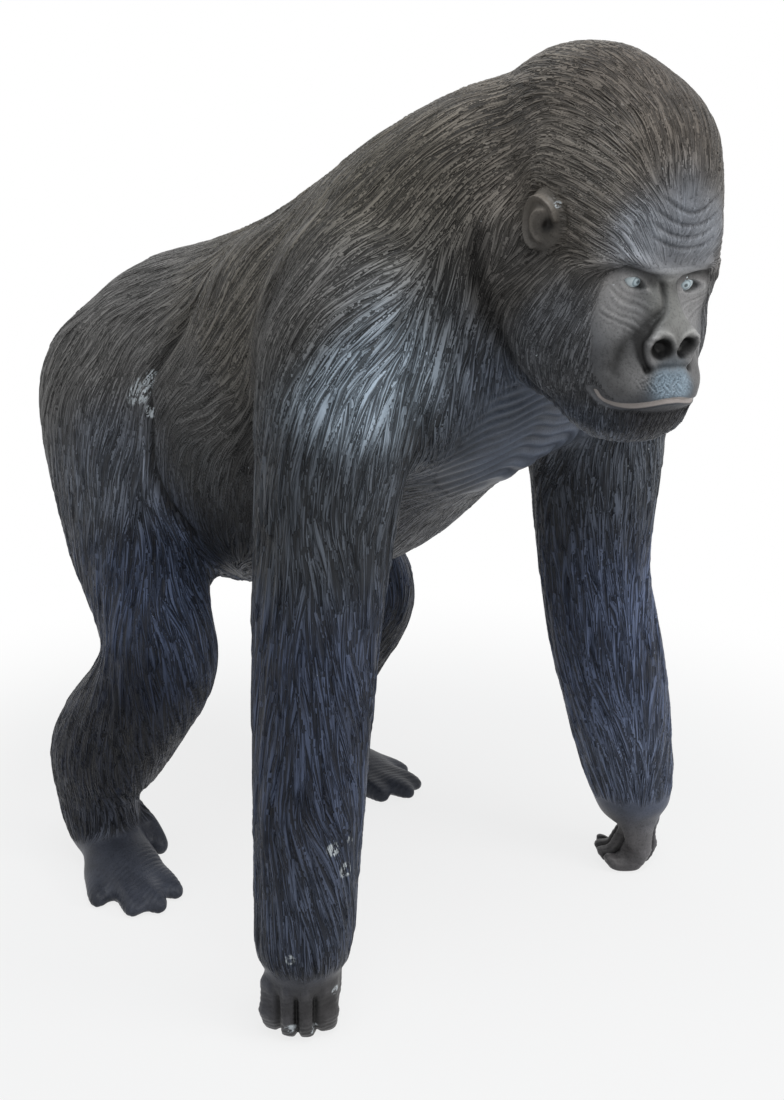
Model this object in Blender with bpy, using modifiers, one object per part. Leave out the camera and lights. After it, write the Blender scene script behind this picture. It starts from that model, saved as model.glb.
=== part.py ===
"""Life-size gorilla statue on all fours, cast in one piece.

Metres, +Z up. The animal faces -Y, its left side is +X, and it stands on its soles and knuckles at Z = 0.
Each mass of the body is a loft of oval rings along a path, or an ellipsoid. They overlap, a voxel
remesh fuses them into one skin, brushes press the hollows in, and a decimation leaves fewer faces
where the form is plain.
"""

import math

import bmesh
import bpy
import numpy as np
from mathutils import Euler, Matrix, Vector

# Skin resolution
VOXEL = 0.0065
BODY_SMOOTHING = 70
FUR_SMOOTHING = 14
SKIN_SMOOTHING = 5
SKIN_TRIANGLES = 11400
RING_SIDES = 28
RINGS_PER_SPAN = 5

# Trunk: heights of the back and belly and half widths, at stations along the body
RUMP_Y = 0.455
HAUNCH_Y = 0.39
HIP_Y = 0.28
LOIN_Y = 0.11
RIB_Y = -0.07
WITHERS_Y = -0.22
SHOULDER_Y = -0.34
NECK_Y = -0.47
NAPE_Y = -0.58
RUMP_BACK_Z = 0.886
HAUNCH_BACK_Z = 0.976
HIP_BACK_Z = 1.027
LOIN_BACK_Z = 1.062
RIB_BACK_Z = 1.115
WITHERS_BACK_Z = 1.182
SHOULDER_BACK_Z = 1.245
NECK_BACK_Z = 1.288
NAPE_BACK_Z = 1.255
RUMP_BELLY_Z = 0.70
HAUNCH_BELLY_Z = 0.60
HIP_BELLY_Z = 0.52
LOIN_BELLY_Z = 0.488
RIB_BELLY_Z = 0.518
WITHERS_BELLY_Z = 0.580
SHOULDER_BELLY_Z = 0.682
NECK_BELLY_Z = 0.765
NAPE_BELLY_Z = 0.930
RUMP_HALF_WIDTH = 0.090
HAUNCH_HALF_WIDTH = 0.175
HIP_HALF_WIDTH = 0.225
LOIN_HALF_WIDTH = 0.240
RIB_HALF_WIDTH = 0.265
WITHERS_HALF_WIDTH = 0.275
SHOULDER_HALF_WIDTH = 0.270
NECK_HALF_WIDTH = 0.210
NAPE_HALF_WIDTH = 0.125

# Arms: one elbow and one wrist for each side, as the right arm stands straighter
SHOULDER_X = 0.240
RIGHT_SHOULDER_Y = -0.370
LEFT_SHOULDER_Y = -0.420
SHOULDER_JOINT_Z = 0.93
SHOULDER_RADIUS = 0.120
UPPER_ARM_RADIUS = 0.096
ELBOW_RADIUS = 0.086
RIGHT_ELBOW_X = 0.292
RIGHT_ELBOW_Y = -0.372
RIGHT_ELBOW_Z = 0.575
LEFT_ELBOW_X = 0.287
LEFT_ELBOW_Y = -0.395
LEFT_ELBOW_Z = 0.545
FOREARM_RADIUS = 0.082
LOWER_FOREARM_RADIUS = 0.074
LEFT_UPPER_ARM_FULLNESS = 1.07
LEFT_FOREARM_FULLNESS = 1.12
RIGHT_WRIST_X = 0.356
RIGHT_WRIST_Y = -0.409
LEFT_WRIST_X = 0.371
LEFT_WRIST_Y = -0.431
WRIST_Z = 0.146
WRIST_RADIUS = 0.069

# Hands
HAND_OUTSIDE_WRIST = 0.007
HAND_TURN_DEG = 48.0
KNUCKLES_AHEAD_OF_WRIST = 0.026
KNUCKLE_Z = 0.030
PALM_HALF_WIDTH = 0.045
PALM_HALF_THICKNESS = 0.031
FINGER_RADIUS = 0.0146
FINGER_SPACING = 0.027
FINGER_BACK_REACH = 0.068
OUTER_KNUCKLES_BACK = 0.018
THUMB_RADIUS = 0.013

# Legs
HIP_JOINT_X = 0.150
HIP_JOINT_Y = 0.255
HIP_JOINT_Z = 0.76
THIGH_TOP_RADIUS = 0.172
THIGH_RADIUS = 0.122
KNEE_X = 0.248
RIGHT_KNEE_Y = 0.045
LEFT_KNEE_Y = 0.088
KNEE_Z = 0.400
KNEE_RADIUS = 0.094
CALF_RADIUS = 0.102
ANKLE_X = 0.262
ANKLE_AHEAD_OF_HEEL = 0.025
ANKLE_Z = 0.140
ANKLE_RADIUS = 0.080

# Feet
HEEL_X = 0.243
RIGHT_HEEL_Y = 0.250
LEFT_HEEL_Y = 0.275
HEEL_RADIUS = 0.056
BALL_REACH = 0.200
RIGHT_FOOT_SPLAY_DEG = 17.0
LEFT_FOOT_SPLAY_DEG = 12.0
FOOT_HALF_WIDTH = 0.065
FOOT_THICKNESS = 0.036
TOE_RADIUS = 0.0205
TOE_LENGTH = 0.062
TOE_SPACING = 0.0295
TOE_FAN = 0.0055
SECOND_TOE_REACH = 0.232
THIRD_TOE_REACH = 0.264
FOURTH_TOE_REACH = 0.255
LITTLE_TOE_REACH = 0.199
BIG_TOE_RADIUS = 0.022
BIG_TOE_LENGTH = 0.074

# Head: its place and turn, and sizes in its own frame, whose origin is midway between the ears
HEAD_X = -0.018
HEAD_Y = -0.623
HEAD_Z = 1.10
HEAD_YAW_DEG = -17.0
HEAD_PITCH_DEG = 26.0
HEAD_HALF_WIDTH = 0.113
CROWN_HEIGHT = 0.195
FOREHEAD_REACH = 0.136
EYE_REACH = 0.127
LIP_REACH = 0.221
MOUTH_DROP = 0.114
CHIN_DROP = 0.205
BROW_HALF_WIDTH = 0.088
BROW_HEIGHT = 0.022
BROW_RADIUS = 0.015

# Muscle and fur masses of the left side, mirrored for the right: centre, radii, turn in degrees
SHOULDER_CAP = ((0.215, -0.355, 0.935), (0.120, 0.135, 0.200), (0, -10, 0))
SHOULDER_BLADE = ((0.165, -0.190, 0.900), (0.125, 0.190, 0.200), (20, 0, 0))
BREAST = ((0.090, -0.380, 0.905), (0.150, 0.160, 0.145), (30, 0, 20))
BUTTOCK = ((0.128, 0.310, 0.765), (0.120, 0.155, 0.180), (-8, 0, 0))
# The same in the head's frame
CHEEKBONE = ((0.063, -0.088, -0.032), (0.052, 0.047, 0.056), (0, 0, 0))
NOSTRIL_WING = ((0.025, -0.178, -0.056), (0.022, 0.023, 0.019), (0, 0, 0))
JOWL = ((0.066, -0.030, -0.108), (0.070, 0.128, 0.102), (6, 6, 0))
EAR = ((0.121, -0.026, 0.018), (0.012, 0.024, 0.039), (10, 8, 12))

# Hollows in the head's frame, on both sides of the face: centre, reach, push
HOLLOWS = [
    ((0.042, -0.142, -0.004), 0.026, (0, 0.010, 0)),
    ((0.020, -0.200, -0.058), 0.013, (0, 0.010, 0.003)),
]

SOLE_TRIM = 0.006


def resample(rows, per_span):
    """Rows of any length, joined by Catmull-Rom curves with per_span samples to each span."""
    rows = np.asarray(rows, float)
    padded = np.vstack([2 * rows[0] - rows[1], rows, 2 * rows[-1] - rows[-2]])
    out = []
    for i in range(1, len(padded) - 2):
        before, start, end, after = padded[i - 1:i + 3]
        for t in np.arange(per_span) / per_span:
            out.append(0.5 * (2 * start + (end - before) * t
                              + (2 * before - 5 * start + 4 * end - after) * t * t
                              + (3 * start - before - 3 * end + after) * t ** 3))
    out.append(rows[-1])
    return np.array(out)


def loft(sculpt, stations, side=(1, 0, 0), up=None, power=2, cap=1, sides=RING_SIDES,
         per_span=RINGS_PER_SPAN, place=None):
    """Adds a closed loft to the bmesh. A station is x, y, z, half size along side, half size across.

    Each ring is square to the path, or spans side and up where up is given. Its outline is an oval of
    the given power, boxier above 2. Rounded ends carry on past the first and last station, by cap
    times the smaller half size.
    """
    path = resample(stations, per_span)
    centres = path[:, :3]
    sizes = np.maximum(path[:, 3:5], 0.002)
    tangents = np.gradient(centres, axis=0)
    tangents /= np.linalg.norm(tangents, axis=1, keepdims=True)
    side = np.asarray(side, float)
    lateral = side - (tangents @ side)[:, None] * tangents
    lateral /= np.linalg.norm(lateral, axis=1, keepdims=True)
    across = np.cross(tangents, lateral)
    if up is not None:
        lateral[:] = side
        across[:] = up
    bulge = np.array([0.9, 0.6, 0.3]) * math.pi / 2

    def ring_rows():
        for angle in bulge:
            reach = cap * math.sin(angle) * sizes[0].min()
            yield centres[0] - tangents[0] * reach, sizes[0] * math.cos(angle), 0
        for i in range(len(centres)):
            yield centres[i], sizes[i], i
        for angle in bulge[::-1]:
            reach = cap * math.sin(angle) * sizes[-1].min()
            yield centres[-1] + tangents[-1] * reach, sizes[-1] * math.cos(angle), len(centres) - 1

    place = place or Matrix.Identity(4)
    turn = np.linspace(0, 2 * math.pi, sides, endpoint=False)
    wide = np.sign(np.cos(turn)) * np.abs(np.cos(turn)) ** (2 / power)
    high = np.sign(np.sin(turn)) * np.abs(np.sin(turn)) ** (2 / power)
    rings = []
    for centre, size, i in ring_rows():
        ring = centre + np.outer(wide * size[0], lateral[i]) + np.outer(high * size[1], across[i])
        rings.append([sculpt.verts.new(place @ Vector(point)) for point in ring])
    for lower, upper in zip(rings, rings[1:]):
        for i in range(sides):
            j = (i + 1) % sides
            sculpt.faces.new((lower[i], lower[j], upper[j], upper[i]))
    sculpt.faces.new(rings[0][::-1])
    sculpt.faces.new(rings[-1])


def blob(sculpt, centre, radii, turn_deg=(0, 0, 0), place=None):
    """Adds an ellipsoid to the bmesh, turned about its centre."""
    turn = Euler([math.radians(angle) for angle in turn_deg]).to_matrix().to_4x4()
    matrix = (place or Matrix.Identity(4)) @ Matrix.Translation(centre) @ turn @ Matrix.Diagonal((*radii, 1))
    bmesh.ops.create_uvsphere(sculpt, u_segments=28, v_segments=18, radius=1, matrix=matrix)


def trunk(sculpt):
    """Rump, belly, chest and neck as one loft of upright rings."""
    stations = [
        (RUMP_Y, RUMP_BACK_Z, RUMP_BELLY_Z, RUMP_HALF_WIDTH),
        (HAUNCH_Y, HAUNCH_BACK_Z, HAUNCH_BELLY_Z, HAUNCH_HALF_WIDTH),
        (HIP_Y, HIP_BACK_Z, HIP_BELLY_Z, HIP_HALF_WIDTH),
        (LOIN_Y, LOIN_BACK_Z, LOIN_BELLY_Z, LOIN_HALF_WIDTH),
        (RIB_Y, RIB_BACK_Z, RIB_BELLY_Z, RIB_HALF_WIDTH),
        (WITHERS_Y, WITHERS_BACK_Z, WITHERS_BELLY_Z, WITHERS_HALF_WIDTH),
        (SHOULDER_Y, SHOULDER_BACK_Z, SHOULDER_BELLY_Z, SHOULDER_HALF_WIDTH),
        (NECK_Y, NECK_BACK_Z, NECK_BELLY_Z, NECK_HALF_WIDTH),
        (NAPE_Y, NAPE_BACK_Z, NAPE_BELLY_Z, NAPE_HALF_WIDTH),
    ]
    rows = [(0, y, (top + bottom) / 2, half_width, (top - bottom) / 2)
            for y, top, bottom, half_width in stations]
    loft(sculpt, rows, up=(0, 0, 1), power=2.2, cap=0.3, sides=44)


def mass(sculpt, shape, s, place=None):
    """Adds one of the named masses on side s, which is 1 on the left and -1 on the right."""
    (x, y, z), radii, (pitch, roll, yaw) = shape
    blob(sculpt, (s * x, y, z), radii, (pitch, s * roll, s * yaw), place)


def arm_joints(s):
    """Shoulder, elbow and wrist of one side."""
    if s > 0:
        shoulder = (SHOULDER_X, LEFT_SHOULDER_Y, SHOULDER_JOINT_Z)
        elbow = (LEFT_ELBOW_X, LEFT_ELBOW_Y, LEFT_ELBOW_Z)
        wrist = (LEFT_WRIST_X, LEFT_WRIST_Y, WRIST_Z)
    else:
        shoulder = (SHOULDER_X, RIGHT_SHOULDER_Y, SHOULDER_JOINT_Z)
        elbow = (RIGHT_ELBOW_X, RIGHT_ELBOW_Y, RIGHT_ELBOW_Z)
        wrist = (RIGHT_WRIST_X, RIGHT_WRIST_Y, WRIST_Z)
    return [Vector((s * x, y, z)) for x, y, z in (shoulder, elbow, wrist)]


def arm(sculpt, s):
    """One arm from inside the chest to the wrist, thick with fur below the elbow."""
    shoulder, elbow, wrist = arm_joints(s)
    upper, lower = (LEFT_UPPER_ARM_FULLNESS, LEFT_FOREARM_FULLNESS) if s > 0 else (1, 1)
    stations = [
        (shoulder, SHOULDER_RADIUS, SHOULDER_RADIUS),
        (shoulder.lerp(elbow, 0.5), UPPER_ARM_RADIUS * upper, UPPER_ARM_RADIUS * 1.06 * upper),
        (elbow, ELBOW_RADIUS, ELBOW_RADIUS * 1.06),
        (elbow.lerp(wrist, 0.35), FOREARM_RADIUS * lower, FOREARM_RADIUS * lower),
        (elbow.lerp(wrist, 0.72), LOWER_FOREARM_RADIUS * lower, LOWER_FOREARM_RADIUS * lower),
        (wrist, WRIST_RADIUS, WRIST_RADIUS),
    ]
    loft(sculpt, [(*c, a, b) for c, a, b in stations])


def hand_frame(s):
    """The frame of one hand: its origin on the floor under the wrist, its back turned outwards."""
    wrist = arm_joints(s)[2]
    turn = Matrix.Rotation(math.radians(s * HAND_TURN_DEG), 4, "Z")
    return Matrix.Translation((wrist.x, wrist.y, 0)) @ turn


def hand(sculpt, s):
    """One knuckled hand: palm upright, fingers folded back under it, thumb hanging on the inner side."""
    place = hand_frame(s)
    middle = HAND_OUTSIDE_WRIST
    knuckle_y = -KNUCKLES_AHEAD_OF_WRIST
    palm = [
        (0, 0, WRIST_Z + 0.03, WRIST_RADIUS * 0.85, WRIST_RADIUS * 0.75),
        (middle / 2, -0.004, WRIST_Z - 0.030, PALM_HALF_WIDTH * 0.95, PALM_HALF_THICKNESS * 1.4),
        (middle, knuckle_y + 0.010, KNUCKLE_Z + 0.048, PALM_HALF_WIDTH, PALM_HALF_THICKNESS),
    ]
    loft(sculpt, [(s * x, y, z, a, b) for x, y, z, a, b in palm], place=place)
    heel = (s * middle, knuckle_y + 0.030, KNUCKLE_Z + 0.012)
    blob(sculpt, heel, (PALM_HALF_WIDTH * 0.85, 0.030, 0.030), place=place)
    for i in range(4):
        x = s * (middle + (1.5 - i) * FINGER_SPACING)
        back = OUTER_KNUCKLES_BACK * (abs(i - 1.5) - 0.5)
        rows = [
            (x, knuckle_y + 0.008 + back / 2, KNUCKLE_Z + 0.055, FINGER_RADIUS, FINGER_RADIUS),
            (x, knuckle_y - 0.006 + back, KNUCKLE_Z + 0.012, FINGER_RADIUS * 1.05, FINGER_RADIUS * 1.05),
            (x, knuckle_y + 0.010 + back, FINGER_RADIUS, FINGER_RADIUS, FINGER_RADIUS * 0.95),
            (x, knuckle_y + FINGER_BACK_REACH * 0.8, FINGER_RADIUS, FINGER_RADIUS * 0.9, FINGER_RADIUS * 0.85),
            (x, knuckle_y + FINGER_BACK_REACH * 1.15 - back / 2, FINGER_RADIUS * 2.2, FINGER_RADIUS * 0.8,
             FINGER_RADIUS * 0.75),
        ]
        loft(sculpt, rows, sides=14, per_span=4, place=place)
    thumb = [
        (middle - PALM_HALF_WIDTH * 0.75, knuckle_y + 0.033, WRIST_Z - 0.02),
        (middle - PALM_HALF_WIDTH * 1.05, knuckle_y + 0.038, WRIST_Z - 0.055),
        (middle - PALM_HALF_WIDTH * 1.10, knuckle_y + 0.034, WRIST_Z - 0.088),
    ]
    radii = (THUMB_RADIUS * 1.2, THUMB_RADIUS, THUMB_RADIUS * 0.85)
    loft(sculpt, [(s * x, y, z, r, r) for (x, y, z), r in zip(thumb, radii)], sides=14, per_span=4, place=place)


def leg(sculpt, s):
    """One leg from inside the hip to the ankle."""
    knee_y, heel_y = (LEFT_KNEE_Y, LEFT_HEEL_Y) if s > 0 else (RIGHT_KNEE_Y, RIGHT_HEEL_Y)
    hip = Vector((HIP_JOINT_X, HIP_JOINT_Y, HIP_JOINT_Z))
    knee = Vector((KNEE_X, knee_y, KNEE_Z))
    ankle = Vector((ANKLE_X, heel_y - ANKLE_AHEAD_OF_HEEL, ANKLE_Z))
    stations = [
        (hip, THIGH_TOP_RADIUS * 0.75, THIGH_TOP_RADIUS),
        (hip.lerp(knee, 0.45) + Vector((0, 0.012, 0)), THIGH_RADIUS * 0.87, THIGH_RADIUS * 1.2),
        (hip.lerp(knee, 0.8), KNEE_RADIUS * 0.95, KNEE_RADIUS * 1.1),
        (knee, KNEE_RADIUS * 0.92, KNEE_RADIUS),
        (knee.lerp(ankle, 0.68) + Vector((0, 0.028, 0)), CALF_RADIUS * 0.88, CALF_RADIUS),
        (ankle, ANKLE_RADIUS * 0.85, ANKLE_RADIUS),
        (ankle + Vector((-0.008, 0.002, -0.075)), ANKLE_RADIUS * 0.75, ANKLE_RADIUS * 0.85),
    ]
    loft(sculpt, [(s * c.x, c.y, c.z, a, b) for c, a, b in stations])


def foot_frame(s):
    """The frame of one foot: origin under the heel, -Y towards the toes, splayed outwards."""
    splay = LEFT_FOOT_SPLAY_DEG if s > 0 else -RIGHT_FOOT_SPLAY_DEG
    turn = Matrix.Rotation(math.radians(splay), 4, "Z")
    return Matrix.Translation((s * HEEL_X, LEFT_HEEL_Y if s > 0 else RIGHT_HEEL_Y, 0)) @ turn


def foot(sculpt, s):
    """One flat foot with four toes ahead and the big toe set apart on the inner side."""
    place = foot_frame(s)
    ball = -BALL_REACH
    sole = [
        (0, 0.0, HEEL_RADIUS * 0.85, HEEL_RADIUS * 0.85, HEEL_RADIUS),
        (0, ball * 0.35, FOOT_THICKNESS * 1.15, FOOT_HALF_WIDTH * 0.85, FOOT_THICKNESS * 1.25),
        (s * 0.004, ball * 0.72, FOOT_THICKNESS * 0.85, FOOT_HALF_WIDTH * 1.0, FOOT_THICKNESS * 0.9),
        (-s * 0.004, ball * 0.98, TOE_RADIUS, FOOT_HALF_WIDTH * 0.76, TOE_RADIUS * 1.05),
    ]
    loft(sculpt, sole, place=place)
    reaches = (LITTLE_TOE_REACH, FOURTH_TOE_REACH, THIRD_TOE_REACH, SECOND_TOE_REACH)
    for i, reach in enumerate(reaches):
        x = s * (1.7 - i) * TOE_SPACING
        fan = s * (1.7 - i) * TOE_FAN
        rows = [
            (x, -0.86 * (reach - TOE_LENGTH), TOE_RADIUS * 1.25, TOE_RADIUS, TOE_RADIUS),
            (x + fan, 0.55 * TOE_LENGTH - reach, TOE_RADIUS * 1.15, TOE_RADIUS, TOE_RADIUS),
            (x + 2 * fan, 0.05 * TOE_LENGTH - reach, TOE_RADIUS * 0.85, TOE_RADIUS * 0.85, TOE_RADIUS * 0.8),
        ]
        loft(sculpt, rows, sides=14, per_span=4, place=place)
    inner = -s * FOOT_HALF_WIDTH
    root = ball * 0.06
    rows = [
        (inner * 0.55, root, BIG_TOE_RADIUS * 3.6, BIG_TOE_RADIUS * 1.5, BIG_TOE_RADIUS * 1.5),
        (inner * 1.05, root - BIG_TOE_LENGTH * 0.3, BIG_TOE_RADIUS * 2.3, BIG_TOE_RADIUS * 1.1, BIG_TOE_RADIUS),
        (inner * 1.25, root - BIG_TOE_LENGTH * 0.75, BIG_TOE_RADIUS, BIG_TOE_RADIUS * 0.9,
         BIG_TOE_RADIUS * 0.85),
    ]
    loft(sculpt, rows, sides=18, per_span=4, place=place)


def head_frame():
    """The frame of the head, midway between the ears."""
    yaw = Matrix.Rotation(math.radians(HEAD_YAW_DEG), 4, "Z")
    pitch = Matrix.Rotation(math.radians(HEAD_PITCH_DEG), 4, "X")
    return Matrix.Translation((HEAD_X, HEAD_Y, HEAD_Z)) @ yaw @ pitch


def head(sculpt):
    """Skull and jaw as one upright loft, with brow ridge, nose, lips, cheekbones and ears added."""
    place = head_frame()
    half = HEAD_HALF_WIDTH
    slices = [
        # height, reach of the face, reach of the back, half width
        (-CHIN_DROP, LIP_REACH - 0.030, 0.000, half * 0.58),
        (-CHIN_DROP + 0.022, LIP_REACH - 0.006, 0.030, half * 0.77),
        (-MOUTH_DROP - 0.034, LIP_REACH - 0.004, 0.050, half * 0.80),
        (-MOUTH_DROP, LIP_REACH - 0.004, 0.070, half * 0.79),
        (-0.087, LIP_REACH - 0.022, 0.085, half * 0.82),
        (-0.062, LIP_REACH - 0.052, 0.100, half * 0.90),
        (-0.035, FOREHEAD_REACH + 0.008, 0.120, half * 0.98),
        (-0.005, EYE_REACH, 0.150, half),
        (BROW_HEIGHT, FOREHEAD_REACH - 0.002, 0.180, half * 1.04),
        (0.045, FOREHEAD_REACH, 0.195, half * 1.08),
        (0.080, FOREHEAD_REACH - 0.002, 0.212, half * 1.06),
        (0.110, FOREHEAD_REACH - 0.013, 0.215, half * 0.98),
        (CROWN_HEIGHT - 0.045, FOREHEAD_REACH - 0.037, 0.182, half * 0.86),
        (CROWN_HEIGHT - 0.016, FOREHEAD_REACH - 0.070, 0.145, half * 0.62),
        (CROWN_HEIGHT, 0.014, 0.100, half * 0.30),
    ]
    rows = [(0, (back - front) / 2, z, half_width, (front + back) / 2) for z, front, back, half_width in slices]
    loft(sculpt, rows, up=(0, 1, 0), power=2.5, cap=0.3, sides=48, place=place)
    forehead = [(0, 0.064 - FOREHEAD_REACH, z, half * width, depth)
                for z, width, depth in ((0.018, 0.90, 0.062), (0.050, 0.88, 0.063), (0.090, 0.70, 0.050))]
    loft(sculpt, forehead, up=(0, 1, 0), power=3, sides=48, place=place)
    brow = [
        (side * BROW_HALF_WIDTH, 0.012 - FOREHEAD_REACH + back, BROW_HEIGHT - drop, BROW_RADIUS * thick,
         BROW_RADIUS)
        for side, back, drop, thick in ((-1, 0.016, 0.006, 0.9), (-0.5, 0.002, 0, 1.3), (0, 0, 0.004, 1.3),
                                        (0.5, 0.002, 0, 1.3), (1, 0.016, 0.006, 0.9))
    ]
    loft(sculpt, brow, side=(0, 0, 1), sides=18, place=place)
    nose = [
        (0, -0.116, 0.010, 0.018, 0.016),
        (0, -0.142, -0.022, 0.025, 0.019),
        (0, -0.168, -0.050, 0.036, 0.026),
        (0, -0.182, -0.084, 0.038, 0.026),
    ]
    loft(sculpt, nose, sides=20, place=place)
    for s in (-1, 1):
        for shape in (CHEEKBONE, NOSTRIL_WING, JOWL, EAR):
            mass(sculpt, shape, s, place)
    blob(sculpt, (0, 0.048 - LIP_REACH, -MOUTH_DROP - 0.002), (half * 0.64, 0.052, 0.034), place=place)


def press_hollows(mesh):
    """Pushes the skin in at the eye sockets and nostrils, with a soft edge, on both sides of the face."""
    place = head_frame()
    turn = place.to_3x3()
    co = np.empty(len(mesh.vertices) * 3)
    mesh.vertices.foreach_get("co", co)
    co = co.reshape(-1, 3)
    for centre, reach, push in HOLLOWS:
        for s in (-1, 1):
            middle = np.array(place @ Vector((s * centre[0], centre[1], centre[2])))
            shift = np.array(turn @ Vector((s * push[0], push[1], push[2])))
            near = np.linalg.norm(co - middle, axis=1) / reach
            co += np.outer(np.clip(1 - near ** 2, 0, 1) ** 2, shift)
    mesh.vertices.foreach_set("co", co.ravel())


def fuse(sculpt):
    """One skin of even cells from the overlapping masses."""
    mesh = bpy.data.meshes.new("gorilla_masses")
    sculpt.to_mesh(mesh)
    rough = bpy.data.objects.new("gorilla_masses", mesh)
    bpy.context.scene.collection.objects.link(rough)
    remesh = rough.modifiers.new("one_skin", "REMESH")
    remesh.mode = "VOXEL"
    remesh.voxel_size = VOXEL
    skin = evaluated_mesh(rough)
    bpy.data.objects.remove(rough)
    return skin


def evaluated_mesh(obj):
    """The mesh of an object with its modifiers applied."""
    graph = bpy.context.evaluated_depsgraph_get()
    graph.update()
    return bpy.data.meshes.new_from_object(obj.evaluated_get(graph))


def soften(obj):
    """Smooths the trunk and thick limbs most, the furred head and ankles less, the bare skin least."""
    place = head_frame().inverted()
    body = obj.vertex_groups.new(name="body")
    fur = obj.vertex_groups.new(name="fur")
    for vertex in obj.data.vertices:
        face = place @ vertex.co
        bare = vertex.co.z < WRIST_Z or (face.y < -0.06 and face.length < 0.27)
        if not bare:
            fur.add([vertex.index], 1.0, "REPLACE")
            clear_of_head = min(max((face.length - 0.20) / 0.10, 0.0), 1.0)
            clear_of_feet = min(max((vertex.co.z - WRIST_Z) / 0.12, 0.0), 1.0)
            body.add([vertex.index], clear_of_head * clear_of_feet, "REPLACE")
    passes = (("skin_smoothing", SKIN_SMOOTHING, ""), ("fur_smoothing", FUR_SMOOTHING, "fur"),
              ("body_smoothing", BODY_SMOOTHING, "body"))
    for name, iterations, group in passes:
        smooth = obj.modifiers.new(name, "SMOOTH")
        smooth.factor = 0.5
        smooth.iterations = iterations
        smooth.vertex_group = group


def thin_out(obj):
    """Collapses edges where the form is plain, to about SKIN_TRIANGLES faces."""
    quads = len(obj.data.polygons)
    decimate = obj.modifiers.new("fewer_faces", "DECIMATE")
    decimate.ratio = SKIN_TRIANGLES / (2 * quads)


def floor_cutter():
    """A slab whose top trims the soles and knuckles flat."""
    bpy.ops.mesh.primitive_cube_add(size=1)
    slab = bpy.context.object
    slab.name = "floor_cutter"
    slab.scale = (3, 3, 0.5)
    slab.location = (0, 0, SOLE_TRIM - 0.25)
    bpy.ops.object.transform_apply(location=True, scale=True, rotation=False)
    slab.hide_render = True
    slab.display_type = "WIRE"
    return slab


def material():
    """Dark painted resin."""
    paint = bpy.data.materials.new("painted_resin")
    paint.use_nodes = True
    shader = paint.node_tree.nodes["Principled BSDF"]
    shader.inputs["Base Color"].default_value = (0.045, 0.045, 0.048, 1)
    shader.inputs["Roughness"].default_value = 0.5
    shader.inputs["Metallic"].default_value = 0.0
    return paint


def main():
    for obj in list(bpy.data.objects):
        bpy.data.objects.remove(obj)
    parts = bpy.data.collections.new("gorilla_statue")
    cutters = bpy.data.collections.new("cutters")
    bpy.context.scene.collection.children.link(parts)
    bpy.context.scene.collection.children.link(cutters)

    sculpt = bmesh.new()
    trunk(sculpt)
    head(sculpt)
    for s in (-1, 1):
        for shape in (SHOULDER_CAP, SHOULDER_BLADE, BREAST, BUTTOCK):
            mass(sculpt, shape, s)
        arm(sculpt, s)
        hand(sculpt, s)
        leg(sculpt, s)
        foot(sculpt, s)
    bmesh.ops.recalc_face_normals(sculpt, faces=sculpt.faces)
    skin = fuse(sculpt)
    sculpt.free()
    press_hollows(skin)

    statue = bpy.data.objects.new("gorilla", skin)
    parts.objects.link(statue)
    soften(statue)
    statue.data = evaluated_mesh(statue)
    statue.modifiers.clear()
    thin_out(statue)
    slab = floor_cutter()
    for collection in slab.users_collection:
        collection.objects.unlink(slab)
    cutters.objects.link(slab)
    trim = statue.modifiers.new("flat_soles", "BOOLEAN")
    trim.operation = "DIFFERENCE"
    trim.object = slab
    statue.data = evaluated_mesh(statue)
    statue.modifiers.clear()
    statue.data.materials.clear()
    statue.data.materials.append(material())
    corners = np.array([vertex.co for vertex in statue.data.vertices])
    middle = (corners.min(axis=0) + corners.max(axis=0)) / 2
    shift = Matrix.Translation((-middle[0], -middle[1], -SOLE_TRIM))
    statue.data.transform(shift)
    statue.data.shade_smooth()


main()
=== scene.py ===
"""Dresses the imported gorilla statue: carved hair, face, hands, feet, paint and a plain stage."""

import math

import bmesh
import bpy
import numpy as np
from mathutils.bvhtree import BVHTree
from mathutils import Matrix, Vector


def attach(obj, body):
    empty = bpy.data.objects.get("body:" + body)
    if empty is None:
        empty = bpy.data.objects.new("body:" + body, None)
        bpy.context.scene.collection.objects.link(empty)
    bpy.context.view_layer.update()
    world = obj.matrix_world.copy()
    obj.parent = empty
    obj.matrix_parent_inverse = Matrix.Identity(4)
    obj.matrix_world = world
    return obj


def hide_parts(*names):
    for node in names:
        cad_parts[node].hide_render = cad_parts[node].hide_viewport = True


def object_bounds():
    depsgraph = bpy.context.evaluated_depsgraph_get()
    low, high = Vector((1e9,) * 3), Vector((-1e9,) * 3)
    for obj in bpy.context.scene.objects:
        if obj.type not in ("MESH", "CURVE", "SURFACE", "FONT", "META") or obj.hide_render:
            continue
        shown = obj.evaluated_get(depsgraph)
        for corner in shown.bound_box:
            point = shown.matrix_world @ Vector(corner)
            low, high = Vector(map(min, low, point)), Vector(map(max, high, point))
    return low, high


bl_info = {
    "name": "Gorilla statue",
    "version": (1, 0, 0),
    "blender": (4, 5, 0),
    "location": "3D View > Sidebar > Statue",
    "description": "Carved hair, face, hands, feet and paint for a cast statue",
    "category": "Object",
}

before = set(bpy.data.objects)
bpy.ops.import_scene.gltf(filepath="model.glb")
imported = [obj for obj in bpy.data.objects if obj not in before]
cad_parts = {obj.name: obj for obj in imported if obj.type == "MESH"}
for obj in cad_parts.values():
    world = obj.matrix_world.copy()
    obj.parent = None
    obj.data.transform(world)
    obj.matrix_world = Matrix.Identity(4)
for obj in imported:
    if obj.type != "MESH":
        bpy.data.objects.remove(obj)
CAD_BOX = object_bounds()
NODE = "gorilla"
BODY = "root"

# The head's own frame: x to the animal's left, y to the back of the skull, z to the crown.
HEAD_ORIGIN = np.array([-0.0253, -0.4724, 1.094])
HEAD_TURN = math.radians(-17)
HEAD_TIP = math.radians(26)


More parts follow.
